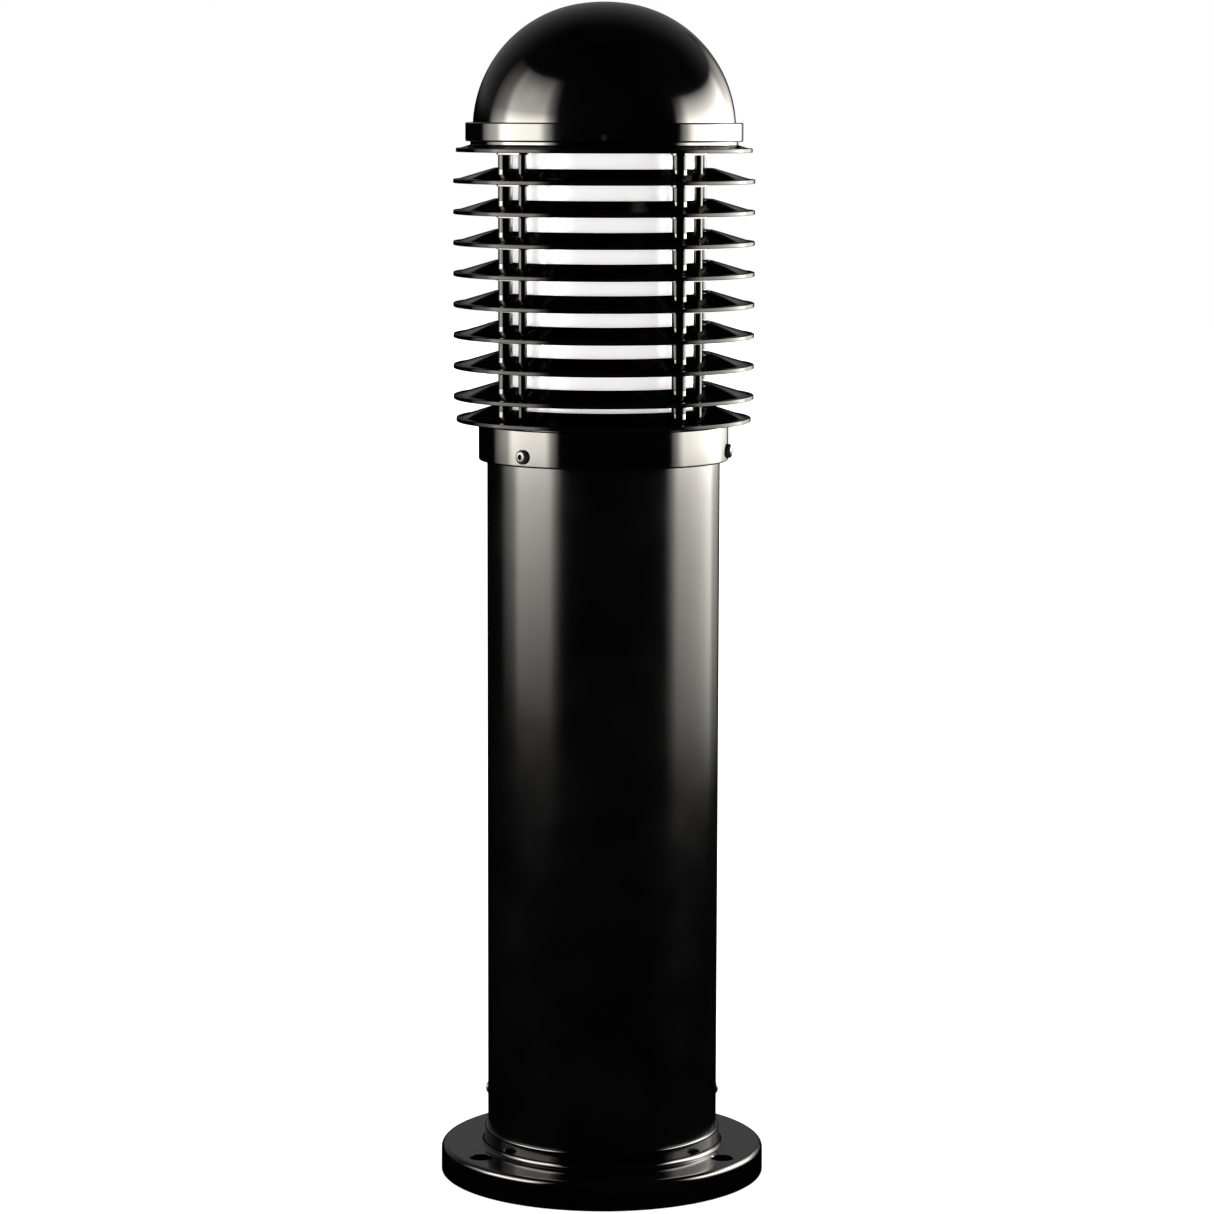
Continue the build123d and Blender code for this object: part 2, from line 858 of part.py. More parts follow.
# ---------------------------------------------------------------- lamp and lampholder
def make_lamp_bracket():
    """Pressed plate with an upturned rim that carries the lampholder."""
    bore = nipple_diameter / 2 + bolt_gap
    rim = inner_lip - bracket_rim_gap
    plate = turned(
        [
            (bore, deck_top, 0),
            (rim, deck_top, 2.0),
            (rim, deck_top + bracket_rim_height, 0),
            (rim - bracket_rim_wall, deck_top + bracket_rim_height, 0),
            (rim - bracket_rim_wall, bracket_top, 0.8),
            (bore, bracket_top, 0),
        ]
    )
    with plate:
        with Locations(*[bearing_point(turn, bracket_circle, bracket_top)
                         for turn in bracket_bearings]):
            Hole(bracket_screw_diameter / 2 + bolt_gap, 2 * bracket_thickness)
    return plate


def make_bracket_screws():
    """Screws that hold the lamp bracket to the deck."""
    return grouped(
        [
            pan_screw(
                Plane(bearing_point(turn, bracket_circle, bracket_top)),
                bracket_screw_diameter,
                bracket_thickness + gear_screw_reach,
                gear_screw_head_diameter,
                gear_screw_head_height,
            )
            for turn in bracket_bearings
        ]
    )


def make_lampholder_body():
    """Porcelain lampholder: threaded foot, wiring cavity and socket bore."""
    radius = lampholder_diameter / 2
    cavity = lampholder_cavity_diameter / 2
    thread = nipple_diameter / 2 + thread_gap
    cavity_low = bracket_top + lampholder_thread_depth
    cavity_top = cavity_low + lampholder_cavity_depth
    bore = shell_radius + thread_gap
    return turned(
        [
            (thread, bracket_top, edge_break),
            (radius - lampholder_foot_inset, bracket_top, 1.5),
            (radius, bracket_top + lampholder_foot_height, 3.0),
            (radius, socket_top, 2.0),
            (bore, socket_top, edge_break),
            (bore, socket_bottom, 0),
            (0, socket_bottom, 0),
            (0, cavity_top, 0),
            (cavity, cavity_top, soft_edge),
            (cavity, cavity_low, 0),
            (thread, cavity_low, 0),
        ]
    )


def make_centre_contact():
    """Sprung contact at the bottom of the socket."""
    return turned(
        [
            (0, socket_bottom, 0),
            (6.0, socket_bottom, 0),
            (4.0, socket_bottom + contact_thickness, 1.5),
            (0, socket_bottom + contact_thickness, 0),
        ]
    )


def make_lampholder_nut():
    """Hexagon locknut on the nipple under the bracket."""
    with BuildPart() as nut:
        with BuildSketch(Plane.XY.offset(deck_top - nipple_nut_thickness)):
            RegularPolygon(nipple_nut_flats / 2, 6, major_radius=False)
            Circle(nipple_diameter / 2 + thread_gap, mode=Mode.SUBTRACT)
        extrude(amount=nipple_nut_thickness)
    return nut


def make_lamp_base():
    """Screw cap of the lamp with its insulator and centre tip."""
    tip = lamp_cap_bottom
    return turned(
        [
            (0, tip, 0),
            (4.5, tip, soft_edge),
            (4.5, tip + 2, 0),
            (9.0, tip + 3, 0),
            (lamp_cap_radius, tip + 7, soft_edge),
            (lamp_cap_radius, lamp_cap_top, 0),
            (0, lamp_cap_top, 0),
        ]
    )


def bulb_outline(inset):
    """Corners of the bulb's outline from neck to crown, moved inwards by an inset."""
    neck = lamp_cap_radius - 0.4 - inset
    belly = lamp_bulb_diameter / 2 - inset
    crown = lamp_cap_bottom + lamp_length - inset
    shoulder = lamp_cap_top + lamp_neck_length
    return [
        (neck, lamp_cap_top, 0),
        (neck, shoulder, 20.0 + inset),
        (belly, shoulder + 1.85 * (belly - neck), 24.0 - inset),
        (belly, crown, belly - 1),
        (0, crown, 0),
    ]


def make_lamp_bulb():
    """Glass envelope of the discharge lamp."""
    return turned(bulb_outline(0) + bulb_outline(lamp_glass)[::-1])


def make_arc_tube():
    """Arc tube on its stem inside the bulb."""
    radius = arc_tube_diameter / 2
    low = lamp_cap_top + lamp_neck_length + 10
    high = low + arc_tube_length
    return turned(
        [
            (0, lamp_cap_top, 0),
            (5.0, lamp_cap_top, 0),
            (5.0, lamp_cap_top + lamp_neck_length - 4, 2.0),
            (1.2, lamp_cap_top + lamp_neck_length, 0),
            (1.2, low - 1, 0),
            (radius, low + 3, 3.0),
            (radius, high - 3, 3.0),
            (1.2, high + 1, 0),
            (1.2, high + 7, 0),
            (0, high + 7, 0),
        ]
    )


# ---------------------------------------------------------------- gear tray
def gear_screw_points():
    """Where each component is screwed to the tray: (x, depth below the column top)."""
    x, drop = ballast_centre
    foot = (ballast_height - ballast_foot_width) / 2
    half = ballast_screw_spread / 2
    points = [(x + side * half, drop + end * foot) for side in (-1, 1) for end in (-1, 1)]
    x, drop = ignitor_centre
    points += [(x, drop + end * ignitor_screw_spread / 2) for end in (-1, 1)]
    x, drop = terminal_centre
    points += [(x + side * terminal_screw_spread / 2, drop) for side in (-1, 1)]
    x, drop = clamp_centre
    points += [(x + side * clamp_screw_spread / 2, drop) for side in (-1, 1)]
    points.append(capacitor_centre)
    return points


def tray_screw_points():
    """Where the tray's two tabs are screwed up into the deck."""
    across = tray_half_width - tray_tab_screw_inset
    return [(side * across, tray_tab_depth / 2, column_top) for side in (-1, 1)]


def cut_gear_screw_holes(component):
    """Screw holes in whatever stands on the tray's front."""
    with component:
        with Locations(*[Plane(origin=tray_point(point, 0), z_dir=(0, 1, 0))
                         for point in gear_screw_points()]):
            Cylinder(
                gear_screw_diameter / 2 + thread_gap,
                gear_screw_reach + 0.5,
                align=(Align.CENTER, Align.CENTER, Align.MAX),
                mode=Mode.SUBTRACT,
            )
    return component


def make_gear_tray():
    """Upright plate hung from the deck by two tabs, notched for the lamp lead."""
    with BuildPart() as tray:
        with Locations((0, 0, column_top)):
            Box(
                2 * tray_half_width,
                tray_thickness,
                tray_length,
                align=(Align.CENTER, Align.MIN, Align.MAX),
            )
            Box(
                tray_notch_width,
                3 * tray_thickness,
                2 * tray_notch_depth,
                align=(Align.CENTER, Align.CENTER, Align.CENTER),
                mode=Mode.SUBTRACT,
            )
        for side in (-1, 1):
            with Locations((side * (tray_half_width - tray_tab_width / 2), 0, column_top)):
                Box(
                    tray_tab_width,
                    tray_tab_depth,
                    tray_thickness,
                    align=(Align.CENTER, Align.MIN, Align.MAX),
                )
        with Locations(*tray_screw_points()):
            Hole(tray_screw_diameter / 2 + bolt_gap, 2 * tray_thickness)
        with Locations(*[Plane(origin=tray_point(point, -tray_thickness), z_dir=(0, 1, 0))
                         for point in gear_screw_points()]):
            Hole(gear_screw_diameter / 2 + bolt_gap, 2 * tray_thickness)
    return tray


def make_tray_screws():
    """Screws up through the tray's tabs into the deck."""
    return grouped(
        [
            pan_screw(
                Plane(origin=(x, y, z - tray_thickness), z_dir=(0, 0, -1)),
                tray_screw_diameter,
                tray_thickness + gear_screw_reach,
                gear_screw_head_diameter,
                gear_screw_head_height,
            )
            for x, y, z in tray_screw_points()
        ]
    )


def make_gear_screws():
    """Screws from behind the tray into each component."""
    return grouped(
        [
            pan_screw(
                Plane(origin=tray_point(point, -tray_thickness), z_dir=(0, 1, 0)),
                gear_screw_diameter,
                tray_thickness + gear_screw_reach,
                gear_screw_head_diameter,
                gear_screw_head_height,
            )
            for point in gear_screw_points()
        ]
    )


def make_ballast_core():
    """Laminated core with two windows, standing on two feet."""
    middle = ballast_foot + ballast_depth / 2
    window = ballast_leg_width / 2 + ballast_window_width / 2
    with BuildPart() as core:
        with Locations(tray_point(ballast_centre, middle)):
            Box(ballast_width, ballast_depth, ballast_height)
            with Locations((-window, 0, 0), (window, 0, 0)):
                Box(
                    ballast_window_width,
                    ballast_depth,
                    ballast_window_height,
                    mode=Mode.SUBTRACT,
                )
        for end in (-1, 1):
            x, y, z = tray_point(ballast_centre, 0)
            with Locations((x, y, z + end * (ballast_height - ballast_foot_width) / 2)):
                Box(
                    ballast_width,
                    ballast_foot,
                    ballast_foot_width,
                    align=(Align.CENTER, Align.MAX, Align.CENTER),
                )
    return cut_gear_screw_holes(core)


def make_ballast_coil():
    """Winding round the core's middle leg."""
    middle = ballast_foot + ballast_depth / 2
    wide = ballast_leg_width + 2 * ballast_window_width - 2 * slip_gap
    deep = ballast_depth + 2 * coil_overhang
    high = ballast_window_height - 2 * slip_gap
    with BuildPart() as coil:
        with Locations(tray_point(ballast_centre, middle)):
            Box(wide, deep, high)
            fillet(coil.edges().filter_by(Axis.Z), 4)
            Box(
                ballast_leg_width + 2 * slip_gap,
                ballast_depth + 2 * slip_gap,
                high,
                mode=Mode.SUBTRACT,
            )
    return coil


def tray_box(size, centre, edge):
    """A component with rounded corners, standing on the tray."""
    width, depth, height = size
    with BuildPart() as component:
        with Locations(tray_point(centre, depth / 2)):
            Box(width, depth, height)
        fillet(component.edges().filter_by(Axis.Z), edge)
    return component


def make_terminal_block():
    """Terminal block with a wire way and a clamping screw well for each pole."""
    width, depth, height = terminal_size
    pitch = (width - 2 * terminal_end_width) / terminal_ways
    block = tray_box(terminal_size, terminal_centre, 1.5)
    x, y, z = tray_point(terminal_centre, depth)
    poles = [pitch * (step - (terminal_ways - 1) / 2) for step in range(terminal_ways)]
    with block:
        with Locations(*[(x + pole, y + terminal_wire_depth, z) for pole in poles]):
            Cylinder(terminal_wire_hole / 2, height, mode=Mode.SUBTRACT)
        with Locations(*[Plane(origin=(x + pole, y, z), z_dir=(0, -1, 0)) for pole in poles]):
            Hole(terminal_screw_well / 2, terminal_wire_depth)
    return cut_gear_screw_holes(block)


def make_cable_clamp():
    """Saddle that grips the supply cable against the tray."""
    clamp = tray_box(clamp_size, clamp_centre, 2)
    with clamp:
        with Locations(tray_point(clamp_centre, 0)):
            Cylinder(clamp_groove_diameter / 2, clamp_size[2], mode=Mode.SUBTRACT)
    return cut_gear_screw_holes(clamp)


def capacitor_axis():
    """Centre of the capacitor."""
    return tray_point(capacitor_centre, capacitor_standoff + capacitor_diameter / 2)


def make_capacitor():
    """Round capacitor can with two terminal tags."""
    radius = capacitor_diameter / 2
    with BuildPart() as can:
        with Locations(capacitor_axis()):
            Cylinder(radius, capacitor_length)
        fillet(can.edges().filter_by(GeomType.CIRCLE), capacitor_edge_radius)
        x, y, z = capacitor_axis()
        tag = capacitor_tag_spread / 2
        top = z + capacitor_length / 2
        with Locations((x - tag, y, top), (x + tag, y, top)):
            Box(*capacitor_tag_size, align=(Align.CENTER, Align.CENTER, Align.MIN))
    return can


def make_capacitor_clip():
    """Spring ring round the capacitor on a solid foot."""
    inner = capacitor_diameter / 2 + thread_gap
    x, y, z = capacitor_axis()
    with BuildPart() as clip:
        with Locations((x, y, z)):
            Cylinder(inner + clip_thickness, clip_width)
        with Locations((x, 0, z)):
            Box(
                clip_foot_width,
                capacitor_standoff + 2 * clip_thickness,
                clip_width,
                align=(Align.CENTER, Align.MAX, Align.CENTER),
            )
        with Locations((x, y, z)):
            Cylinder(inner, clip_width, mode=Mode.SUBTRACT)
    return cut_gear_screw_holes(clip)


def lamp_lead_route():
    """From the ignitor's top, over the tray's notch and up the nipple."""
    x, y, z = tray_point(ignitor_centre, ignitor_size[1] / 2)
    start = z + ignitor_size[2] / 2
    return [
        (x + 8, y, start),
        (x + 8, y, start + 18),
        (x - 12, y / 2 - 2, start + 34),
        (0, 0, start + 48),
        (0, 0, bracket_top + lampholder_thread_depth + 2),
    ]


def ballast_lead_route():
    """From the winding's front, up and back to the underside of the terminal block."""
    x, _, z = tray_point(ballast_centre, 0)
    front = -(ballast_foot + ballast_depth + coil_overhang / 2)
    pole = (terminal_size[0] - 2 * terminal_end_width) / terminal_ways
    block_y = -terminal_size[1] + terminal_wire_depth
    block_z = column_top - terminal_centre[1] - terminal_size[2] / 2
    start = z + ballast_window_height / 2 - slip_gap
    return [
        (x + pole, front, start),
        (x + pole, front, start + 20),
        (x + pole, (front + block_y) / 2, start + 32),
        (x + pole, block_y, block_z - 18),
        (x + pole, block_y, block_z),
    ]


def ignitor_lead_route():
    """From the top of the terminal block over to the ignitor's top."""
    x, _, z = tray_point(terminal_centre, 0)
    block_y = -terminal_size[1] + terminal_wire_depth
    start = z + terminal_size[2] / 2
    end_x, end_y, end_z = tray_point(ignitor_centre, ignitor_size[1] / 2)
    end_z += ignitor_size[2] / 2
    return [
        (x, block_y, start),
        (x, block_y, start + 24),
        (x + 16, block_y - 1, end_z + 22),
        (end_x - 22, end_y - 1, end_z + 24),
        (end_x - 8, end_y, end_z + 12),
        (end_x - 8, end_y, end_z),
    ]


# ---------------------------------------------------------------- build everything
reflector_bearings = spread(60.0, 3)
reflector_screw_circle = spigot_ring_radius - spigot_ring_width / 2
bracket_bearings = spread(60.0, 3)
bracket_circle = (deck_opening + inner_lip) / 2

os.makedirs("parts", exist_ok=True)

save(make_base_casting(), "base_casting")
save(make_column_tube(), "column_tube")
save(make_column_screws(), "column_screws")
save(make_earth_stud(), "earth_stud")

save(make_head_base(), "head_base")
for number, turn in enumerate(spread(collar_screw_first_bearing, collar_screw_count), start=1):
    save(make_collar_screw(turn), f"collar_screw_{number}")
for number, level in enumerate(louvre_levels, start=1):
    save(make_louvre(level), f"louvre_{number}")
save(make_spacers([(first_blade, louvre_levels[0])]), "post_spacers_short")
save(make_spacers(list(zip(louvre_levels, louvre_levels[1:] + [top_blade]))), "post_spacers")
save(make_tie_bolts(), "tie_bolts")
save(make_locating_rods(), "locating_rods")
save(make_cap_ring(), "cap_ring")
save(
    tube(diffuser_radius, diffuser_bore, deck_top, upper_groove - diffuser_gasket_thickness),
    "diffuser",
)
save(tube(groove_outer, groove_inner, lower_groove, deck_top), "diffuser_gasket_lower")
save(
    tube(groove_outer, groove_inner, upper_groove - diffuser_gasket_thickness, upper_groove),
    "diffuser_gasket_upper",
)

save(make_dome_shell(), "dome_shell")
save(tube(dome_radius - 0.4, cap_bore + slip_gap, cap_seat, dome_rim), "dome_gasket")
for number, turn in enumerate(spread(dome_screw_first_bearing, dome_screw_count), start=1):
    save(make_dome_screw(turn), f"dome_screw_{number}")
save(make_top_reflector(), "top_reflector")
save(make_reflector_screws(), "reflector_screws")

save(make_lamp_bracket(), "lamp_bracket")
save(make_bracket_screws(), "bracket_screws")
save(make_lampholder_body(), "lampholder_body")
save(tube(shell_radius, shell_bore, socket_bottom + 3, socket_top - 2), "socket_shell")
save(make_centre_contact(), "centre_contact")
nipple_top = bracket_top + lampholder_thread_depth
save(
    tube(nipple_diameter / 2, nipple_bore / 2, nipple_top - nipple_length, nipple_top),
    "lampholder_nipple",
)
save(make_lampholder_nut(), "lampholder_nut")
save(make_lamp_base(), "lamp_base")
save(make_lamp_bulb(), "lamp_bulb")
save(make_arc_tube(), "arc_tube")

save(make_gear_tray(), "gear_tray")
save(make_tray_screws(), "tray_screws")
save(make_gear_screws(), "gear_screws")
save(make_ballast_core(), "ballast_core")
save(make_ballast_coil(), "ballast_coil")
save(cut_gear_screw_holes(tray_box(ignitor_size, ignitor_centre, 3)), "ignitor")
save(make_capacitor(), "capacitor")
save(make_capacitor_clip(), "capacitor_clip")
save(make_terminal_block(), "terminal_block")
save(make_cable_clamp(), "cable_clamp")
save(lead(lamp_lead_route(), nipple_bore - 2), "lamp_lead")
save(lead(ballast_lead_route(), lead_diameter), "ballast_lead")
save(lead(ignitor_lead_route(), lead_diameter), "ignitor_lead")
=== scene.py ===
"""Louvred bollard light: gloss black castings round an opal diffuser, on a plain column.

Every length is in metres. The origin is the centre of the base's underside, Z is up, and the
front is towards -Y. Bearings start at the front and grow towards +X.
"""

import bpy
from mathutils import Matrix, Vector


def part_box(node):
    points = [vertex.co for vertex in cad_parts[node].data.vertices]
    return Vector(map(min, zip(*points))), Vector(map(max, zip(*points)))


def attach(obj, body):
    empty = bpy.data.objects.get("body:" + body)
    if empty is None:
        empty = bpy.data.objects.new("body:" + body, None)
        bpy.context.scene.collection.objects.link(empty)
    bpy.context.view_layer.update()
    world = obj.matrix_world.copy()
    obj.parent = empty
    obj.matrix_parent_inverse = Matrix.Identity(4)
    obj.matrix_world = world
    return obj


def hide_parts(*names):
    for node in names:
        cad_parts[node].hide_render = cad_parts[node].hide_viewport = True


bl_info = {
    "name": "Louvred Bollard Light",
    "version": (1, 0, 0),
    "blender": (4, 5, 0),
    "location": "View3D > Sidebar > Bollard",
    "description": "Makes a louvred bollard light piece by piece, with its finishes and studio",
    "category": "Object",
}

from math import acos, asin, ceil, cos, pi, radians, sin, tan

import bmesh
import bpy
from bpy.props import (
    FloatProperty,
    FloatVectorProperty,
    IntProperty,
    PointerProperty,
)
from mathutils import Matrix, Vector

MM = 0.001
# Relief of enamelled sand castings: slow waves of the casting, then the enamel's orange peel.
CASTING_RELIEF = [(28 * MM, 0.05 * MM, 1.0), (2.4 * MM, 0.004 * MM, 2.0)]
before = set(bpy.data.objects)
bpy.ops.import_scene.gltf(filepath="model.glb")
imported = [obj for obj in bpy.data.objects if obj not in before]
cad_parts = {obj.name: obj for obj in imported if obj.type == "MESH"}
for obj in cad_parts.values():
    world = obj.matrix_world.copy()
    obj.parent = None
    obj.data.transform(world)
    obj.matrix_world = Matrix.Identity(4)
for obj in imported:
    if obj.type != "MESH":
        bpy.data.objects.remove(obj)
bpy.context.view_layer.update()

tube_low, tube_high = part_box("column_tube")
flange_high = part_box("base_casting")[1]
head_low, head_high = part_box("head_base")
louvre_low, louvre_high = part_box("louvre_1")
next_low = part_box("louvre_2")[0]
cap_low, cap_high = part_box("cap_ring")
dome_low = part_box("dome_shell")[0]
lens_low, lens_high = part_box("diffuser")


def linear(code):
    """A hex sRGB colour as the linear RGB that Blender works in."""
    parts = [int(code[place:place + 2], 16) / 255 for place in (0, 2, 4)]
    return [part / 12.92 if part <= 0.04045 else ((part + 0.055) / 1.055) ** 2.4 for part in parts]


def length(label, about, default):
    """A length that a user can change."""
    return FloatProperty(name=label, description=about, default=default, min=0, unit="LENGTH")


def turn(label, about, default):
    """An angle that a user can change."""
    return FloatProperty(name=label, description=about, default=default, subtype="ANGLE")


def colour(label, about, code):
    """A colour that a user can change."""
    return FloatVectorProperty(
        name=label, description=about, default=linear(code), size=3, min=0, max=1, subtype="COLOR"
    )


# ---------------------------------------------------------------- sizes and colours
class BaseSizes(bpy.types.PropertyGroup):
    """Base casting: flange, hub and spigot."""

    flange_radius: length("Flange radius", "Outer radius of the flange", flange_high.x)
    flange_thickness: length("Flange thickness", "Thickness of the flange", 25 * MM)
    flange_edge: length("Flange edge", "Rounding of the flange's upper edge", 5 * MM)
    hub_overhang: length("Hub overhang", "How far the hub stands out from the tube", 2.6 * MM)
    hub_edge: length("Hub edge", "Rounding of the hub's upper edge", 2 * MM)
    hub_foot: length("Hub foot", "Fillet between the hub and the flange", 5 * MM)
    spigot_gap: length("Spigot gap", "Gap between the spigot and the tube", 0.3 * MM)
    spigot_wall: length("Spigot wall", "Wall of the spigot", 10 * MM)
    floor: length("Floor", "Thickness of the floor inside the spigot", 10 * MM)
    cable_entry: length("Cable entry", "Radius of the hole for the supply cable", 45 * MM)
    anchor_circle: length("Anchor circle", "Radius of the circle of anchor holes", 122 * MM)
    anchor_bearing: turn("First anchor", "Bearing of the first anchor hole", radians(60))
    anchor_hole: length("Anchor hole", "Radius of an anchor hole", 7 * MM)
    counterbore: length("Counterbore", "Radius of an anchor hole's counterbore", 10 * MM)
    counterbore_depth: length("Counterbore depth", "Depth of the counterbore", 9 * MM)
    counterbore_rim: length("Counterbore rim", "Chamfer round the counterbore's mouth", 0.5 * MM)


class ColumnSizes(bpy.types.PropertyGroup):
    """Column tube and its fixing screws."""

    radius: length("Radius", "Outer radius of the column", tube_high.x)
    wall: length("Wall", "Wall of the tube", 3.2 * MM)
    screw_bearing: turn("First screw", "Bearing of the first fixing screw", radians(100))
    screw_step: turn("Screw step", "Angle from one fixing screw to the next", radians(80))
    screw_height: length("Screw height", "Height of the fixing screws", 68 * MM)
    screw_head: length("Screw head", "Diameter of a fixing screw's head", 10.5 * MM)
    screw_head_height: length("Head height", "Height of a fixing screw's head", 3.3 * MM)
    screw_shank: length("Shank", "Diameter of a fixing screw's shank", 6 * MM)
    screw_reach: length("Reach", "Length of a fixing screw's shank", 12 * MM)


class HeadSizes(bpy.types.PropertyGroup):
    """Head base: skirt over the column, deck and the diffuser's seat."""

    skirt_wall: length("Skirt wall", "Wall of the skirt round the column", 7.1 * MM)
    skirt_edge: length("Skirt edge", "Rounding of the skirt's lower edge", 1.5 * MM)
    deck: length("Deck", "Thickness of the deck", 8 * MM)
    deck_opening: length("Deck opening", "Radius of the opening in the deck", 62.5 * MM)
    neck_height: length("Neck height", "Groove between the deck and the lowest blade", 2.3 * MM)
    neck_step: length("Neck step", "Depth of that groove", 2 * MM)
    seat_outer: length("Outer seat", "Height of the seat's outer wall", 6 * MM)
    seat_inner: length("Inner seat", "Height of the seat's inner wall", 4 * MM)
    gasket: length("Gasket", "Thickness of the diffuser's gaskets", 2 * MM)
    seat_gap: length("Seat gap", "Room round the diffuser in its seat", 1.5 * MM)
    seat_lip: length("Seat lip", "Width of the seat's inner wall", 3 * MM)
    lens_wall: length("Diffuser wall", "Wall of the diffuser tube", 4 * MM)
    screw_height: length("Set screw height", "Set screws above the skirt's foot", 9 * MM)
    screw_bearing: turn("First set screw", "Bearing of the first set screw", radians(-39))
    screw_head: length("Set screw head", "Diameter of a set screw's head", 12.5 * MM)
    screw_head_height: length("Set screw head height", "Height of its head", 4.4 * MM)
    screw_shank: length("Set screw shank", "Diameter of its shank", 8 * MM)
    screw_flat: length("Set screw flat", "Depth of the spot face under it", 0.3 * MM)


class BladeSizes(bpy.types.PropertyGroup):
    """Louvre blades."""

    tip: length("Tip radius", "Outer radius of a louvre", louvre_high.x)
    end_tip: length("End tip radius", "Outer radius of the first and last blade", head_high.x)
    rim: length("Rim", "Width of the flat rim at the tip", 4.5 * MM)
    edge: length("Edge", "Thickness of a blade's edge", 3.6 * MM)
    slope: length("Rim slope", "Rise across the flat rim", 0.3 * MM)
    rise: length("Rise", "Height of the crest above the edge", 9.5 * MM)
    crest: length("Crest radius", "Radius of the crest", 95.5 * MM)
    crest_rounding: length("Crest rounding", "Rounding of the crest", 1.5 * MM)
    heel: length("Heel", "Rounding between rim and slope", 3 * MM)
    lip: length("Lip radius", "Inner radius of the blades", 91.5 * MM)
    lip_wall: length("Lip wall", "Wall of the inner lip", 3 * MM)
    lip_height: length("Lip height", "Foot of the inner lip above the underside", 5 * MM)
    count: IntProperty(name="Louvres", description="Louvre rings", default=8, min=1)
    segments: IntProperty(name="Segments", description="Sides round a louvre", default=120, min=16)


class PostSizes(bpy.types.PropertyGroup):
    """Posts between the blades."""

    circle: length("Post circle", "Radius of the circle of posts and rods", 105.4 * MM)
    radius: length("Post radius", "Outer radius of a post", 6.2 * MM)
    joint: length("Joint", "Rounding at the ends of a spacer", 0.35 * MM)
    boss: length("Boss", "Height of the boss that a spacer lands on", 12.5 * MM)
    bolt: length("Bolt", "Radius of a tie bolt's hole", 3.3 * MM)
    bearing: turn("First post", "Bearing of the first post", radians(-52.8))
    pad_drop: length("Pad drop", "How far a pad reaches below its blade", 1.6 * MM)
    pad_rise: length("Pad rise", "Top of a pad above the blade's underside", 7 * MM)
    pad_width: length("Pad width", "Width of the oblong pads", 15 * MM)
    rod_turn: turn("Rod bearing", "Bearing from a post to the rod beside it", radians(12))
    rod: length("Rod", "Radius of a locating rod", 3.6 * MM)
    rod_gap: length("Rod gap", "Room round a rod in a louvre", 0.3 * MM)
    rod_seat: length("Rod seat", "Foot of a rod above the lowest blade's underside", 1 * MM)
    rod_reach: length("Rod reach", "How far a rod goes into the cap", 10 * MM)
    count: IntProperty(name="Posts", description="Posts round the head", default=4, min=1)


class CapSizes(bpy.types.PropertyGroup):
    """Cap ring with the highest blade and the dome's seat."""

    ring_radius: length("Ring radius", "Outer radius of the ring", 120.1 * MM)
    ring_height: length("Ring height", "Height of the ring", 16.3 * MM)
    ring_edge: length("Ring edge", "Rounding of the ring's edges", 1.5 * MM)
    neck_radius: length("Neck radius", "Radius of the neck under the ring", 115.8 * MM)
    groove_radius: length("Groove radius", "Outer radius of the groove round the dome", 115.6 * MM)
    seat_depth: length("Seat depth", "Depth of the dome's seat", 8.2 * MM)
    bore: length("Bore", "Radius of the bore that takes the dome", 97.9 * MM)
    inner_floor: length("Inner floor", "Height of the inner ledge over the blade", 8.1 * MM)
    groove_depth: length("Diffuser groove", "Depth of the diffuser's groove", 3.8 * MM)
    under: length("Under", "Height of the blade's hollow underside", 5 * MM)
    bolt_head: length("Bolt pocket", "Radius of a tie bolt's pocket", 5.3 * MM)
    bolt_pocket: length("Pocket depth", "Depth of a tie bolt's pocket", 6 * MM)
    screw_hole: length("Screw hole", "Radius of the dome screws' holes", 2.55 * MM)
    screw_height: length("Screw height", "Height of the dome screws", 913.85 * MM)


class DomeSizes(bpy.types.PropertyGroup):
    """Dome shell."""

    side_inset: length("Side inset", "Distance of the side arc's centre from the axis", 4.8 * MM)
    side_radius: length("Side radius", "Radius of the side arc", 109 * MM)
    crown_excess: length("Crown excess", "How much larger the crown arc is", 31 * MM)
    wall: length("Wall", "Wall of the dome", 3.5 * MM)
    rim: length("Rim", "Thickness of the inner rim", 5 * MM)
    rim_height: length("Rim height", "Height of the dome's foot", 920 * MM)
    rim_edge: length("Rim edge", "Rounding at the dome's foot", 0.6 * MM)
    spigot: length("Spigot ring", "Outer radius of the spigot ring", 97.6 * MM)
    spigot_bore: length("Spigot bore", "Inner radius of the spigot ring", 93.6 * MM)


class Finishes(bpy.types.PropertyGroup):
    """Colours of the finishes."""

    enamel: colour("Enamel", "Black of the baked enamel", "010102")
    enamel_thin: colour("Thin enamel", "Black where the enamel lies thinner", "030304")
    oxide: colour("Black oxide", "Blackened screws", "131314")
    # The opal colour is also the colour of the diffuser's painted glow.
    opal: colour("Opal", "Body of the opal acrylic", "fafafa")
    opal_flow: colour("Opal flow", "Paler and darker flow in the acrylic", "f3f3f4")
    floor: colour("Floor", "Pale studio floor", "f7f6f4")
    light: colour("Softbox", "Colour of the softboxes", "fffaf0")


class Studio(bpy.types.PropertyGroup):
    """Camera and softboxes."""

    distance: length("Camera distance", "From the axis, along the floor", 3347.6 * MM)
    height: length("Camera height", "Above the floor", 932.6 * MM)
    pitch: turn("Pitch", "How far the camera looks down", radians(7.29))
    yaw: turn("Yaw", "How far the camera looks to the right", radians(0.039))
    roll: turn("Roll", "How far the camera leans to the left", radians(0.145))
    lens: FloatProperty(name="Lens", description="Focal length", default=114.05, unit="CAMERA")
    softbox_distance: length("Softbox distance", "From the axis", 1500 * MM)


SETTINGS = {
    "bollard_base": BaseSizes,
    "bollard_column": ColumnSizes,
    "bollard_head": HeadSizes,
    "bollard_blades": BladeSizes,
    "bollard_posts": PostSizes,
    "bollard_cap": CapSizes,
    "bollard_dome": DomeSizes,
    "bollard_finishes": Finishes,
    "bollard_studio": Studio,
}


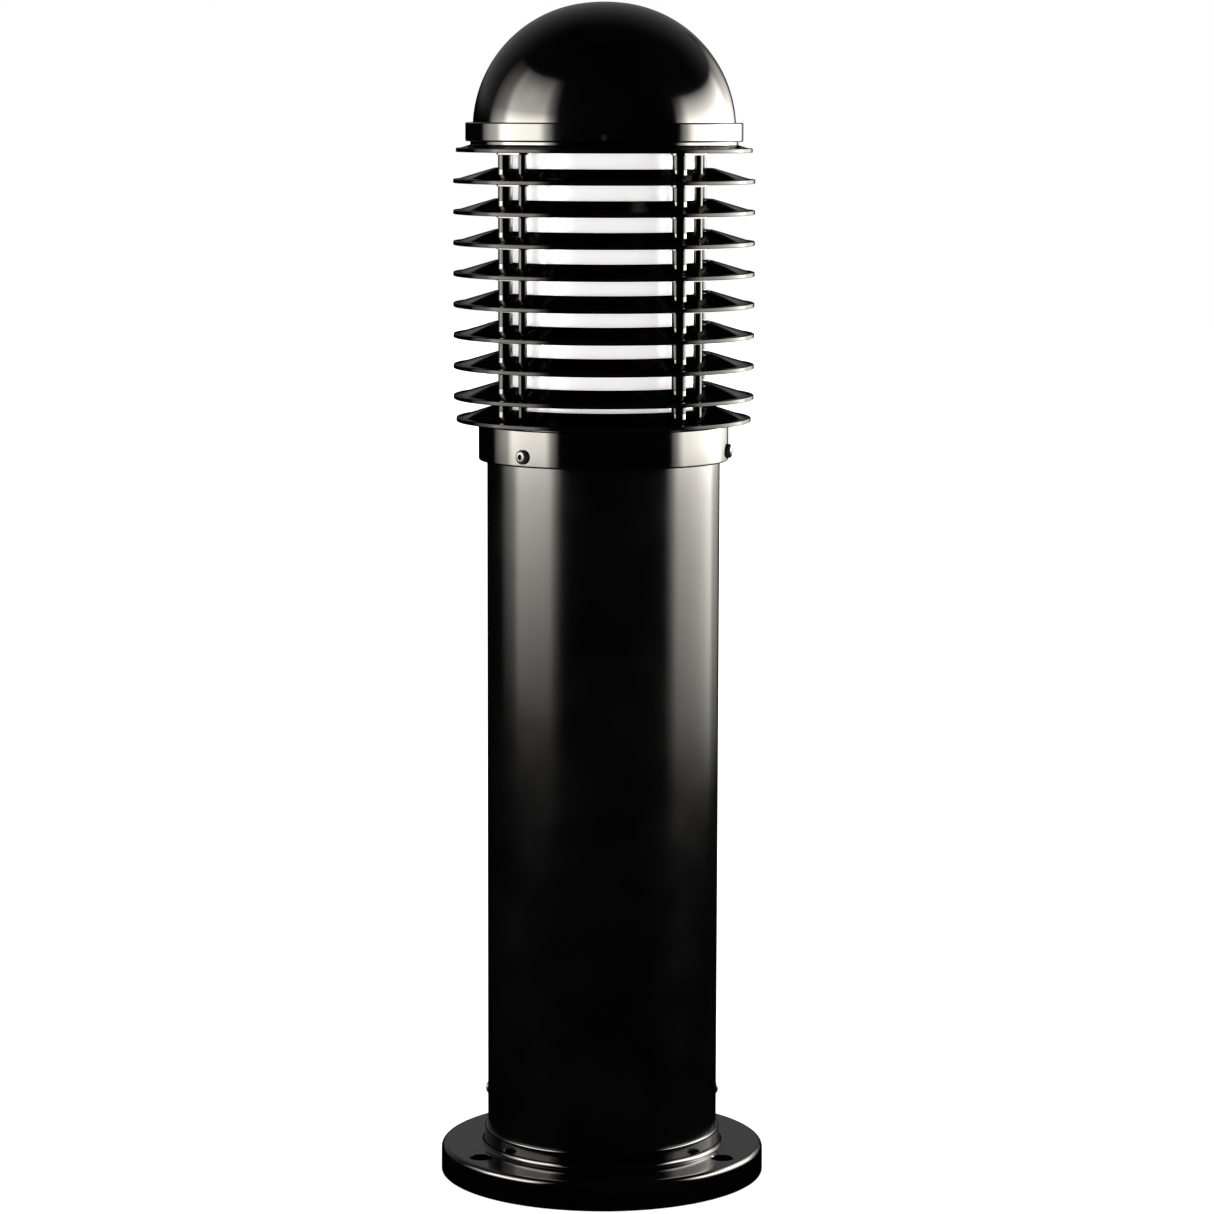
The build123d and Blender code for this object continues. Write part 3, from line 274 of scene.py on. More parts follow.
# ---------------------------------------------------------------- making shapes
def rounded(corners, hold=0.3 * MM, step=radians(11)):
    """A closed outline of (radius, height, rounding) corners with its corners made into arcs."""
    outline = []
    for index, (across, up, rounding) in enumerate(corners):
        here = Vector((across, up))
        into = here - Vector(corners[index - 1][:2])
        away = Vector(corners[(index + 1) % len(corners)][:2]) - here
        room = min(into.length, away.length)
        into.normalize()
        away.normalize()
        bend = acos(max(-1, min(1, into.dot(away))))
        if not rounding or bend < step / 4:
            outline.append(here)
            continue
        side = 1 if into.cross(away) > 0 else -1
        reach = rounding * tan(bend / 2)
        start = here - into * reach
        centre = start + Vector((-into.y, into.x)) * side * rounding
        steps = max(2, ceil(bend / step))
        if room > 2 * (reach + hold):
            outline.append(start - into * hold)
        for count in range(steps + 1):
            spoke = Matrix.Rotation(side * bend * count / steps, 2) @ (start - centre)
            outline.append(centre + spoke)
        if room > 2 * (reach + hold):
            outline.append(here + away * (reach + hold))
    return outline


def turned(outline, segments=224):
    """A closed body of revolution, as a mesh, from a closed outline of (radius, height)."""
    body = bmesh.new()
    rings = []
    for across, up in outline:
        if across < 1e-7:
            rings.append([body.verts.new((0, 0, up))] * segments)
            continue
        rings.append(
            [
                body.verts.new((across * cos(angle), across * sin(angle), up))
                for angle in (2 * pi * side / segments for side in range(segments))
            ]
        )
    for low, high in zip(rings, rings[1:] + rings[:1]):
        if low[0] is low[1] and high[0] is high[1]:
            continue
        for side in range(segments):
            after = (side + 1) % segments
            corners = [low[side], low[after], high[after], high[side]]
            body.faces.new(list(dict.fromkeys(corners)))
    bmesh.ops.remove_doubles(body, verts=body.verts, dist=1e-6)
    bmesh.ops.recalc_face_normals(body, faces=body.faces)
    mesh = bpy.data.meshes.new("turned")
    body.to_mesh(mesh)
    body.free()
    return mesh


def prism(sides, radius, low, high):
    """An upright prism, as a mesh, with its first corner towards +X."""
    outline = [(0, low), (radius, low), (radius, high), (0, high)]
    return turned(outline, sides)


def helper(mesh):
    """A short-lived object that carries a mesh into a node tree or a modifier."""
    carrier = bpy.data.objects.new("helper", mesh)
    bpy.context.scene.collection.objects.link(carrier)
    return carrier


def plain_mesh(carrier, *helpers):
    """The carrier's evaluated mesh. The carrier and its helpers are removed."""
    bpy.context.view_layer.update()
    evaluated = carrier.evaluated_get(bpy.context.evaluated_depsgraph_get())
    mesh = bpy.data.meshes.new_from_object(evaluated)
    for spent in (carrier, *helpers):
        bpy.data.objects.remove(spent)
    return mesh


def piece(name, mesh, material, body, slot, *nodes, sharp=radians(32)):
    """A finished piece: smooth but for its sharp edges, riding on a body in place of CAD nodes."""
    mesh.materials.clear()
    mesh.materials.append(material)
    mesh.shade_smooth()
    mesh.set_sharp_from_angle(angle=sharp)
    carrier = helper(mesh)
    weighted = carrier.modifiers.new("Flat faces stay flat", "WEIGHTED_NORMAL")
    weighted.keep_sharp = True
    final = plain_mesh(carrier)
    final.name = name
    made = bpy.data.objects.new(name, final)
    bpy.context.scene.collection.objects.link(made)
    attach(made, body)
    if nodes:
        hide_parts(*nodes)
    return made


def refinish(material, *nodes):
    """Gives CAD nodes whose shape is right a better material."""
    for node in nodes:
        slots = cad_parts[node].material_slots
        for slot in slots:
            slot.material = material


# ---------------------------------------------------------------- node trees
def add(tree, kind, settings=None, inputs=None):
    """Adds a node: settings are its own, inputs go by socket name or number, as values or links."""
    made = tree.nodes.new(kind)
    for name, value in (settings or {}).items():
        setattr(made, name, value)
    for name, value in (inputs or {}).items():
        socket = made.inputs[name]
        for source in value if isinstance(value, list) else [value]:
            if isinstance(source, bpy.types.NodeSocket):
                tree.links.new(source, socket)
            else:
                socket.default_value = source
    return made


def geometry_tree(name, sizes):
    """An empty geometry tree with its named inputs; returns the tree and the input node."""
    tree = bpy.data.node_groups.new(name, "GeometryNodeTree")
    for label, kind in sizes.items():
        tree.interface.new_socket(label, in_out="INPUT", socket_type=f"NodeSocket{kind}")
    tree.interface.new_socket("Geometry", in_out="OUTPUT", socket_type="NodeSocketGeometry")
    return tree, add(tree, "NodeGroupInput")


def close_tree(tree, geometry, material):
    """Ends a tree in plain geometry with its material."""
    plain = add(tree, "GeometryNodeRealizeInstances", inputs={0: geometry})
    painted = add(
        tree, "GeometryNodeSetMaterial", inputs={"Geometry": plain.outputs[0], "Material": material}
    )
    add(tree, "NodeGroupOutput", inputs={0: painted.outputs[0]})
    return tree


def copies_tree():
    """Copies of a piece round the axis and up it, each turned to face outwards."""
    name = "Copies round the axis"
    if name in bpy.data.node_groups:
        return bpy.data.node_groups[name]
    tree, given = geometry_tree(
        name,
        {
            "Piece": "Object",
            "Round": "Int",
            "First Bearing": "Float",
            "Bearing Step": "Float",
            "Circle Radius": "Float",
            "Up": "Int",
            "First Height": "Float",
            "Pitch": "Float",
            "Tilt": "Float",
            "Material": "Material",
        },
    )
    sizes = given.outputs

    def work(operation, *values):
        """One step of arithmetic."""
        return add(
            tree, "ShaderNodeMath", {"operation": operation}, dict(enumerate(values))
        ).outputs[0]

    index = add(tree, "GeometryNodeInputIndex").outputs[0]
    around = work("MODULO", index, sizes["Round"])
    level = work("FLOOR", work("DIVIDE", work("ADD", index, 0.5), sizes["Round"]))
    bearing = work("ADD", sizes["First Bearing"], work("MULTIPLY", around, sizes["Bearing Step"]))
    forwards = work("MULTIPLY", sizes["Circle Radius"], work("COSINE", bearing))
    place = add(
        tree,
        "ShaderNodeCombineXYZ",
        inputs={
            0: work("MULTIPLY", sizes["Circle Radius"], work("SINE", bearing)),
            1: work("MULTIPLY", forwards, -1.0),
            2: work("ADD", sizes["First Height"], work("MULTIPLY", level, sizes["Pitch"])),
        },
    )
    points = add(
        tree,
        "GeometryNodePoints",
        inputs={
            "Count": work("MULTIPLY", sizes["Round"], sizes["Up"]),
            "Position": place.outputs[0],
        },
    )
    facing = add(
        tree,
        "ShaderNodeCombineXYZ",
        inputs={0: 0.0, 1: sizes["Tilt"], 2: work("SUBTRACT", bearing, pi / 2)},
    )
    shape = add(tree, "GeometryNodeObjectInfo", inputs={"Object": sizes["Piece"]})
    copies = add(
        tree,
        "GeometryNodeInstanceOnPoints",
        inputs={
            "Points": points.outputs[0],
            "Instance": shape.outputs["Geometry"],
            "Rotation": facing.outputs[0],
        },
    )
    return close_tree(tree, copies.outputs[0], sizes["Material"])


def drilled_tree():
    """A casting with its bosses joined on and its holes cut through both."""
    name = "Drilled casting"
    if name in bpy.data.node_groups:
        return bpy.data.node_groups[name]
    tree, given = geometry_tree(
        name, {"Casting": "Object", "Bosses": "Object", "Holes": "Object", "Material": "Material"}
    )
    shapes = [
        add(tree, "GeometryNodeObjectInfo", inputs={"Object": given.outputs[part]})
        .outputs["Geometry"]
        for part in ("Casting", "Bosses", "Holes")
    ]
    exact = {"solver": "EXACT"}
    joined = add(
        tree,
        "GeometryNodeMeshBoolean",
        {"operation": "UNION", **exact},
        {"Mesh 2": shapes[:2], "Self Intersection": True},
    )
    drilled = add(
        tree,
        "GeometryNodeMeshBoolean",
        {"operation": "DIFFERENCE", **exact},
        {"Mesh 1": joined.outputs[0], "Mesh 2": shapes[2]},
    )
    return close_tree(tree, drilled.outputs[0], given.outputs["Material"])


def run_tree(tree, **values):
    """The plain mesh that a tree makes from its inputs, which are given by name."""
    carrier = helper(bpy.data.meshes.new("made"))
    modifier = carrier.modifiers.new(tree.name, "NODES")
    modifier.node_group = tree
    helpers = []
    for item in tree.interface.items_tree:
        value = values.get(item.name.replace(" ", "_").lower())
        if item.in_out != "INPUT" or value is None:
            continue
        if isinstance(value, bpy.types.Mesh):
            value = helper(value)
            helpers.append(value)
        modifier[item.identifier] = value
    return plain_mesh(carrier, *helpers)


def copies(
    mesh, material=None, *, round_count, bearing, step, circle, height, up=1, pitch=0.0, tilt=0.0
):
    """Copies of a mesh at bearings round the axis, at one or more heights."""
    return run_tree(
        copies_tree(),
        piece=mesh,
        round=round_count,
        first_bearing=bearing,
        bearing_step=step,
        circle_radius=circle,
        up=up,
        first_height=height,
        pitch=pitch,
        tilt=tilt,
        material=material,
    )


def drilled(casting, bosses, holes, material):
    """A casting with bosses joined on and holes cut."""
    return run_tree(
        drilled_tree(), casting=casting, bosses=bosses, holes=holes, material=material
    )


def together(*meshes):
    """Several meshes as one."""
    body = bmesh.new()
    for mesh in meshes:
        body.from_mesh(mesh)
    joined = bpy.data.meshes.new("together")
    body.to_mesh(joined)
    body.free()
    return joined


# ---------------------------------------------------------------- finishes
def surface(name, sockets):
    """A new material with an object-space coordinate and a principled shader."""
    material = bpy.data.materials.new(name)
    material.use_nodes = True
    tree = material.node_tree
    tree.nodes.clear()
    place = add(tree, "ShaderNodeTexCoord").outputs["Object"]
    shader = add(tree, "ShaderNodeBsdfPrincipled", inputs=sockets)
    add(tree, "ShaderNodeOutputMaterial", inputs={"Surface": shader.outputs[0]})
    return material, tree, place, shader


def opaque(rgb):
    """A colour with full alpha."""
    return (*rgb, 1.0)


def wander(tree, place, shader, colours, roughness, patch):
    """Lets colour and roughness wander over patches of a real size."""
    noise = add(
        tree,
        "ShaderNodeTexNoise",
        inputs={"Vector": place, "Scale": 1 / patch, "Detail": 4.0, "Roughness": 0.55},
    )
    ramp = add(tree, "ShaderNodeValToRGB", inputs={"Fac": noise.outputs["Fac"]})
    ramp.color_ramp.elements[0].position = 0.35
    ramp.color_ramp.elements[0].color = opaque(colours[0])
    ramp.color_ramp.elements[1].position = 0.65
    ramp.color_ramp.elements[1].color = opaque(colours[1])
    tree.links.new(ramp.outputs["Color"], shader.inputs["Base Color"])
    spread = add(
        tree,
        "ShaderNodeMapRange",
        inputs={
            "Value": noise.outputs["Fac"],
            "From Min": 0.3,
            "From Max": 0.7,
            "To Min": roughness[0],
            "To Max": roughness[1],
        },
    )
    tree.links.new(spread.outputs[0], shader.inputs["Roughness"])
    return noise


def grain(tree, place, shader, layers):
    """Adds relief: each layer is (feature size, depth, detail), the finest last."""
    normal = None
    for feature, depth, detail in layers:
        noise = add(
            tree,
            "ShaderNodeTexNoise",
            inputs={"Vector": place, "Scale": 1 / feature, "Detail": detail, "Roughness": 0.5},
        )
        inputs = {"Height": noise.outputs["Fac"], "Distance": depth, "Strength": 1.0}
        if normal:
            inputs["Normal"] = normal
        normal = add(tree, "ShaderNodeBump", inputs=inputs).outputs[0]
    tree.links.new(normal, shader.inputs["Normal"])


def enamel(name, colours, roughness, layers, shine=0.5):
    """Baked enamel; shine is 0.5 where it has its full gloss."""
    material, tree, place, shader = surface(name, {"IOR": 1.5, "Specular IOR Level": shine})
    wander(tree, place, shader, colours, roughness, 60 * MM)
    grain(tree, place, shader, layers)
    return material


def coat(name, sockets, codes, roughness, patch, layers):
    """A finish whose colour wanders between two shades, with its own relief."""
    material, tree, place, shader = surface(name, sockets)
    wander(tree, place, shader, [linear(code) for code in codes], roughness, patch)
    grain(tree, place, shader, layers)
    return material


def inner_finishes():
    """Finishes of the parts inside the head and the column, by name."""
    made = {}
    metal = {"Metallic": 1.0}
    # Brass, turned: warm yellow with fine tool marks that blur its highlights.
    made["brass"] = coat(
        "turned_brass", metal, ("c9a050", "b98f43"), (0.2, 0.32), 4 * MM,
        [(0.5 * MM, 0.01 * MM, 2.0)],
    )
    # Zinc plate on pressed steel: cool grey, with the cloudy spangle of the plating bath.
    made["zinc"] = coat(
        "zinc_plated_steel", metal, ("c3c5c6", "a9acaf"), (0.26, 0.4), 6 * MM,
        [(0.8 * MM, 0.01 * MM, 3.0)],
    )
    # Aluminium, spun and brightened: nearly a mirror, with faint spinning waves.
    made["spun_aluminium"] = coat(
        "spun_bright_aluminium", metal, ("eceded", "dfe0e1"), (0.12, 0.2), 10 * MM,
        [(3 * MM, 0.01 * MM, 1.0)],
    )
    # White stove enamel on pressed steel: even gloss white with slight orange peel.
    made["white_enamel"] = coat(
        "white_stove_enamel", {"IOR": 1.5}, ("efeeea", "e7e6e1"), (0.2, 0.3), 30 * MM,
        [(1.5 * MM, 0.008 * MM, 2.0)],
    )
    # Porcelain, cast and glazed: creamy white under a wet-looking glaze.
    made["porcelain"] = coat(
        "glazed_porcelain", {"IOR": 1.55}, ("f1eee4", "e8e4d8"), (0.08, 0.16), 12 * MM,
        [(6 * MM, 0.02 * MM, 1.0)],
    )
    # Lamp glass, blown: clear and thin, with the slow waves of blown glass.
    made["lamp_glass"] = coat(
        "blown_lamp_glass", {"IOR": 1.5, "Transmission Weight": 1.0}, ("ffffff", "f6faf9"),
        (0.0, 0.03), 20 * MM, [(15 * MM, 0.03 * MM, 0.0)],
    )
    # Quartz, fused: clear, with the faint haze of the burner's ends.
    made["quartz"] = coat(
        "fused_quartz", {"IOR": 1.46, "Transmission Weight": 0.9}, ("f4f6f8", "e6eaee"),
        (0.05, 0.15), 8 * MM, [(5 * MM, 0.02 * MM, 0.0)],
    )
    # Silicon steel laminations, stamped and dipped in varnish: dark grey with a resin sheen.
    made["laminations"] = coat(
        "varnished_laminations", {"Metallic": 0.7}, ("4a4a4c", "333335"), (0.3, 0.5), 3 * MM,
        [(0.5 * MM, 0.06 * MM, 1.0)],
    )
    # Winding under varnished tape: red-brown and slightly shiny, ridged by the wire below.
    made["winding"] = coat(
        "varnished_winding", {"IOR": 1.55}, ("8a4a28", "6d3419"), (0.3, 0.45), 5 * MM,
        [(1.0 * MM, 0.08 * MM, 0.0)],
    )
    # Moulded glass-filled nylon: dull black with a spark-eroded texture.
    made["black_nylon"] = coat(
        "moulded_black_nylon", {"IOR": 1.53}, ("18181a", "222224"), (0.45, 0.6), 10 * MM,
        [(0.6 * MM, 0.02 * MM, 3.0)],
    )
    # Moulded white polyamide: off-white and waxy.
    made["white_nylon"] = coat(
        "moulded_white_polyamide",
        {"IOR": 1.53, "Subsurface Weight": 0.1, "Subsurface Scale": 2 * MM},
        ("e4e2da", "dad8cf"), (0.35, 0.5), 10 * MM, [(0.6 * MM, 0.01 * MM, 3.0)],
    )
    # Silicone rubber, extruded over the leads: soft buff with a dry sheen.
    made["silicone"] = coat(
        "extruded_silicone", {"IOR": 1.41}, ("c2b59b", "b2a58b"), (0.5, 0.65), 6 * MM,
        [(0.8 * MM, 0.01 * MM, 2.0)],
    )
    # Gasket rubber, moulded: matt near-black with a light bloom.
    made["gasket"] = coat(
        "moulded_gasket_rubber", {"IOR": 1.45}, ("2c2c2d", "38383a"), (0.6, 0.8), 8 * MM,
        [(0.5 * MM, 0.02 * MM, 3.0)],
    )
    return made


def make_finishes(colours):
    """Every finish of the bollard, by name."""
    black = (colours.enamel, colours.enamel_thin)
    made = {}
    # Gloss black enamel, sprayed and baked over sand castings: deep black with clear highlights
    # that waver slightly, from the casting's own slow waves and the enamel's orange peel.
    made["enamel_on_casting"] = enamel(
        "baked_enamel_on_casting",
        black,
        (0.07, 0.12),
        CASTING_RELIEF,
    )
    # The same enamel on drawn tube: straighter highlights, with finer orange peel.
    made["enamel_on_tube"] = enamel(
        "baked_enamel_on_tube",
        black,
        (0.13, 0.18),
        [(60 * MM, 0.03 * MM, 0.0), (2.0 * MM, 0.004 * MM, 2.0)],
    )

    # The enamel on posts and rods, sprayed thin between the blades: darker and less wet.
    made["enamel_on_posts"] = enamel(
        "baked_enamel_on_posts", black, (0.1, 0.16), [(2.0 * MM, 0.004 * MM, 2.0)], 0.14
    )
    # The enamel on the blade castings: full gloss on the collar, the cap ring and the inner
    # slopes, and dull at the thin outer edges, where the spray runs off and bakes on thin.
    blades = bpy.context.scene.bollard_blades
    edge_start = blades.end_tip - 2 * blades.rim
    material = enamel(
        "baked_enamel_on_blades",
        black,
        (0.07, 0.12),
        CASTING_RELIEF,
    )
    tree = material.node_tree
    shader = next(node for node in tree.nodes if node.type == "BSDF_PRINCIPLED")
    place = add(tree, "ShaderNodeTexCoord").outputs["Object"]
    level = add(tree, "ShaderNodeVectorMath", {"operation": "MULTIPLY"}, {0: place, 1: (1, 1, 0)})
    outwards = add(
        tree, "ShaderNodeVectorMath", {"operation": "LENGTH"}, {0: level.outputs[0]}
    ).outputs["Value"]
    dulled = add(
        tree,
        "ShaderNodeMapRange",
        inputs={
            "Value": outwards,
            "From Min": edge_start,
            "From Max": edge_start + 3 * MM,
            "To Min": 0.5,
            "To Max": 0.08,
        },
    )
    tree.links.new(dulled.outputs[0], shader.inputs["Specular IOR Level"])
    made["enamel_on_blades"] = material

    # Steel screws, machined and blackened in hot oxide: dark, half dull, with a rubbed sheen.
    material, tree, place, shader = surface("black_oxide_steel", {"Metallic": 0.0, "IOR": 1.6})
    wander(tree, place, shader, (colours.oxide, linear("1d1d1e")), (0.22, 0.36), 3 * MM)
    grain(tree, place, shader, [(0.6 * MM, 0.01 * MM, 2.0)])
    made["black_oxide_steel"] = material

    # Opal acrylic, extruded: milky white with a soft gloss and faint flow along the tube, plus a
    # painted glow: a faint, even emission in the opal's colour that keeps the tube white between
    # the blades' shade, though the lamp inside is not lit.
    material, tree, place, shader = surface(
        "extruded_opal_acrylic",
        {
            "IOR": 1.49,
            "Subsurface Weight": 0.2,
            "Subsurface Scale": 8 * MM,
            # Painted glow: the tube gives off light of its own, although the lamp inside is unlit.
            "Emission Color": opaque(colours.opal),
            "Emission Strength": 0.42,
        },
    )
    stretched = add(
        tree, "ShaderNodeMapping", inputs={"Vector": place, "Scale": (1.0, 1.0, 0.06)}
    ).outputs[0]
    wander(tree, stretched, shader, (colours.opal_flow, colours.opal), (0.22, 0.34), 5 * MM)
    grain(tree, place, shader, [(1.6 * MM, 0.008 * MM, 2.0)])
    made["opal_acrylic"] = material
    made.update(inner_finishes())
    return made


# ---------------------------------------------------------------- shared outlines
def blade_top(blades, tip, level):
    """A blade's upper side, from its edge up to its crest."""
    heel = tip - blades.rim
    return [
        (tip, level, 0.6 * MM),
        (tip, level + blades.edge, 0.8 * MM),
        (heel, level + blades.edge + blades.slope, blades.heel),
        (blades.crest, level + blades.edge + blades.rise, blades.crest_rounding),
    ]


def seat_sizes():
    """Radii of the diffuser's grooves: outer wall, inner wall, inner lip."""
    head = bpy.context.scene.bollard_head
    outer = lens_high.x + head.seat_gap
    inner = lens_high.x - head.lens_wall - head.seat_gap
    return outer, inner, inner - head.seat_lip


def post_places(posts):
    """The posts' places, as arguments for copies."""
    return {
        "round_count": posts.count,
        "bearing": posts.bearing,
        "step": 2 * pi / posts.count,
        "circle": posts.circle,
    }


def rod_places(posts):
    """The rods' places, as arguments for copies."""
    return {**post_places(posts), "bearing": posts.bearing + posts.rod_turn}


def pad_copies(posts, level):
    """Oblong pads under a blade, each round a post and the rod beside it."""
    body = bmesh.new()
    half = posts.circle * sin(posts.rod_turn / 2)
    edge = posts.pad_width / 2
    corners = []
    for step in range(48):
        angle = 2 * pi * (step + 0.5) / 48
        side = half if sin(angle) > 0 else -half
        across, along = edge * cos(angle), side + edge * sin(angle)
        corners.append(body.verts.new((across, along, -posts.pad_drop)))
    foot = body.faces.new(corners)
    raised = bmesh.ops.extrude_face_region(body, geom=[foot])["geom"]
    tops = [part for part in raised if isinstance(part, bmesh.types.BMVert)]
    bmesh.ops.translate(body, verts=tops, vec=(0, 0, posts.pad_drop + posts.pad_rise))
    bmesh.ops.recalc_face_normals(body, faces=body.faces)
    mesh = bpy.data.meshes.new("pad")
    body.to_mesh(mesh)
    body.free()
    places = post_places(posts)
    places["bearing"] += posts.rod_turn / 2
    places["circle"] *= cos(posts.rod_turn / 2)
    return copies(mesh, height=level, **places)


def button_screw(head, head_height, shank, reach):
    """A button-head socket screw along Z, as a mesh, whose head sits at height 0."""
    crown = head_height * 0.7
    body = turned(
        rounded(
            [
                (0, -reach, 0),
                (shank / 2, -reach, 0.4 * MM),
                (shank / 2, 0, 0),
                (head / 2, 0, 0.15 * MM),
                (head / 2, head_height, crown),
                (0, head_height, 0),
            ]
        ),
        64,
    )
    socket = turned(
        [
            (0, head_height * 0.4),
            (head * 0.2, head_height * 0.4),
            (head * 0.22, head_height * 0.95),
            (head * 0.27, head_height * 1.3),
            (0, head_height * 1.3),
        ],
        6,
    )
    return drilled(body, bpy.data.meshes.new("none"), socket, None)


# ---------------------------------------------------------------- operators
class BOLLARD_OT_base(bpy.types.Operator):
    """Make the base casting: flange, hub and spigot, with three anchor holes"""

    bl_idname = "bollard.base"
    bl_label = "Base"

    def execute(self, context):
        sizes = context.scene.bollard_base
        column = context.scene.bollard_column
        hub = column.radius + sizes.hub_overhang
        spigot = column.radius - column.wall - sizes.spigot_gap
        bore = spigot - sizes.spigot_wall
        hub_top = tube_low.z
        casting = turned(
            rounded(
                [
                    (sizes.cable_entry, 0, 1 * MM),
                    (sizes.flange_radius, 0, 1 * MM),
                    (sizes.flange_radius, sizes.flange_thickness, sizes.flange_edge),
                    (hub, sizes.flange_thickness, sizes.hub_foot),
                    (hub, hub_top, sizes.hub_edge),
                    (spigot, hub_top, 0),
                    (spigot, flange_high.z, 1.5 * MM),
                    (bore, flange_high.z, 1.5 * MM),
                    (bore, sizes.floor, 3 * MM),
                    (sizes.cable_entry, sizes.floor, 1 * MM),
                ]
            ),
            320,
        )
        top = sizes.flange_thickness
        rim = sizes.counterbore_rim
        drill = turned(
            [
                (0, -1 * MM),
                (sizes.anchor_hole, -1 * MM),
                (sizes.anchor_hole, top - sizes.counterbore_depth),
                (sizes.counterbore, top - sizes.counterbore_depth),
                (sizes.counterbore, top - rim),
                (sizes.counterbore + rim, top),
                (sizes.counterbore + rim, top + 1 * MM),
                (0, top + 1 * MM),
            ],
            64,
        )
        holes = copies(
            drill,
            round_count=3,
            bearing=sizes.anchor_bearing,
            step=2 * pi / 3,
            circle=sizes.anchor_circle,
            height=0.0,
        )
        enamelled = FINISH["enamel_on_casting"]
        mesh = drilled(casting, bpy.data.meshes.new("none"), holes, enamelled)
        piece("base_flange", mesh, enamelled, "base", "black_enamel_casting", "base_casting")
        return {"FINISHED"}


class BOLLARD_OT_column(bpy.types.Operator):
    """Make the column tube and the button-head screws that fix it to the base"""

    bl_idname = "bollard.column"
    bl_label = "Column"

    def execute(self, context):
        sizes = context.scene.bollard_column
        bore = sizes.radius - sizes.wall
        edge = 0.3 * MM
        tube = turned(
            rounded(
                [
                    (bore, tube_low.z, edge),
                    (sizes.radius, tube_low.z, edge),
                    (sizes.radius, tube_high.z, edge),
                    (bore, tube_high.z, edge),
                ]
            ),
            320,
        )
        piece(
            "column", tube, FINISH["enamel_on_tube"], "base", "black_enamel_tube", "column_tube"
        )
        screw = button_screw(
            sizes.screw_head, sizes.screw_head_height, sizes.screw_shank, sizes.screw_reach
        )
        screws = copies(
            screw,
            FINISH["black_oxide_steel"],
            round_count=3,
            bearing=sizes.screw_bearing,
            step=sizes.screw_step,
            circle=sizes.radius,
            height=sizes.screw_height,
            tilt=pi / 2,
        )
        piece(
            "column_fixings", screws, FINISH["black_oxide_steel"], "base", "black_steel",
            "column_screws",
        )
        return {"FINISHED"}


class BOLLARD_OT_head_base(bpy.types.Operator):
    """Make the head base with its skirt and lowest blade, and the three set screws in the skirt"""

    bl_idname = "bollard.head_base"
    bl_label = "Head Base"

    def execute(self, context):
        sizes = context.scene.bollard_head
        blades = context.scene.bollard_blades
        posts = context.scene.bollard_posts
        outer, inner, lip = seat_sizes()
        column_top = tube_high.z
        deck_top = column_top + sizes.deck
        level = deck_top + sizes.neck_height
        skirt_bore = tube_high.x + 0.3 * MM
        collar = skirt_bore + sizes.skirt_wall
        crest = level + blades.edge + blades.rise
        casting = turned(
            rounded(
                [
                    (skirt_bore, head_low.z, 0.5 * MM),
                    (collar, head_low.z, sizes.skirt_edge),
                    (collar, deck_top, 1 * MM),
                    (collar - sizes.neck_step, deck_top, 0.2 * MM),
                    (collar - sizes.neck_step, level, 0.2 * MM),
                    *blade_top(blades, blades.end_tip, level),
                    (blades.lip, crest, 1 * MM),
                    (blades.lip, deck_top + sizes.seat_outer, 1 * MM),
                    (outer, deck_top + sizes.seat_outer, 0.5 * MM),
                    (outer, deck_top - sizes.gasket, 0),
                    (inner, deck_top - sizes.gasket, 0),
                    (inner, deck_top + sizes.seat_inner, 0.5 * MM),
                    (lip, deck_top + sizes.seat_inner, 0.5 * MM),
                    (lip, deck_top, 0),
                    (sizes.deck_opening, deck_top, 0.5 * MM),
                    (sizes.deck_opening, column_top, 0.5 * MM),
                    (skirt_bore, column_top, 0),
                ]
            )
        )
        bosses = copies(
            prism(48, posts.radius, 2 * MM, posts.boss), height=level, **post_places(posts)
        )
        spot = turned(
            [
                (0, -sizes.skirt_wall - 2 * MM),
                (sizes.screw_shank / 2, -sizes.skirt_wall - 2 * MM),
                (sizes.screw_shank / 2, -sizes.screw_flat),
                (sizes.screw_head / 2 + 0.5 * MM, -sizes.screw_flat),
                (sizes.screw_head / 2 + 0.5 * MM, 1 * MM),
                (0, 1 * MM),
            ],
            64,
        )
        rod_holes = copies(
            prism(32, posts.rod, posts.rod_seat, crest - level + 2 * MM),
            height=level,
            **rod_places(posts),
        )
        screw_level = head_low.z + sizes.screw_height
        around = {"round_count": 3, "bearing": sizes.screw_bearing, "step": 2 * pi / 3}
        holes = copies(spot, circle=collar, height=screw_level, tilt=pi / 2, **around)
        enamelled = FINISH["enamel_on_blades"]
        mesh = drilled(casting, bosses, together(holes, rod_holes), enamelled)
        piece("head_casting", mesh, enamelled, "head", "black_enamel_casting", "head_base")
        for number in (1, 2, 3):
            screw = button_screw(
                sizes.screw_head,
                sizes.screw_head_height,
                sizes.screw_shank,
                sizes.skirt_wall - sizes.screw_flat,
            )
            placed = copies(
                screw,
                FINISH["black_oxide_steel"],
                round_count=1,
                bearing=sizes.screw_bearing + (number - 1) * 2 * pi / 3,
                step=0.0,
                circle=collar - sizes.screw_flat,
                height=screw_level,
                tilt=pi / 2,
            )
            node = f"collar_screw_{number}"
            oxide = FINISH["black_oxide_steel"]
            piece(f"set_screw_{number}", placed, oxide, node, "black_steel", node)
        return {"FINISHED"}


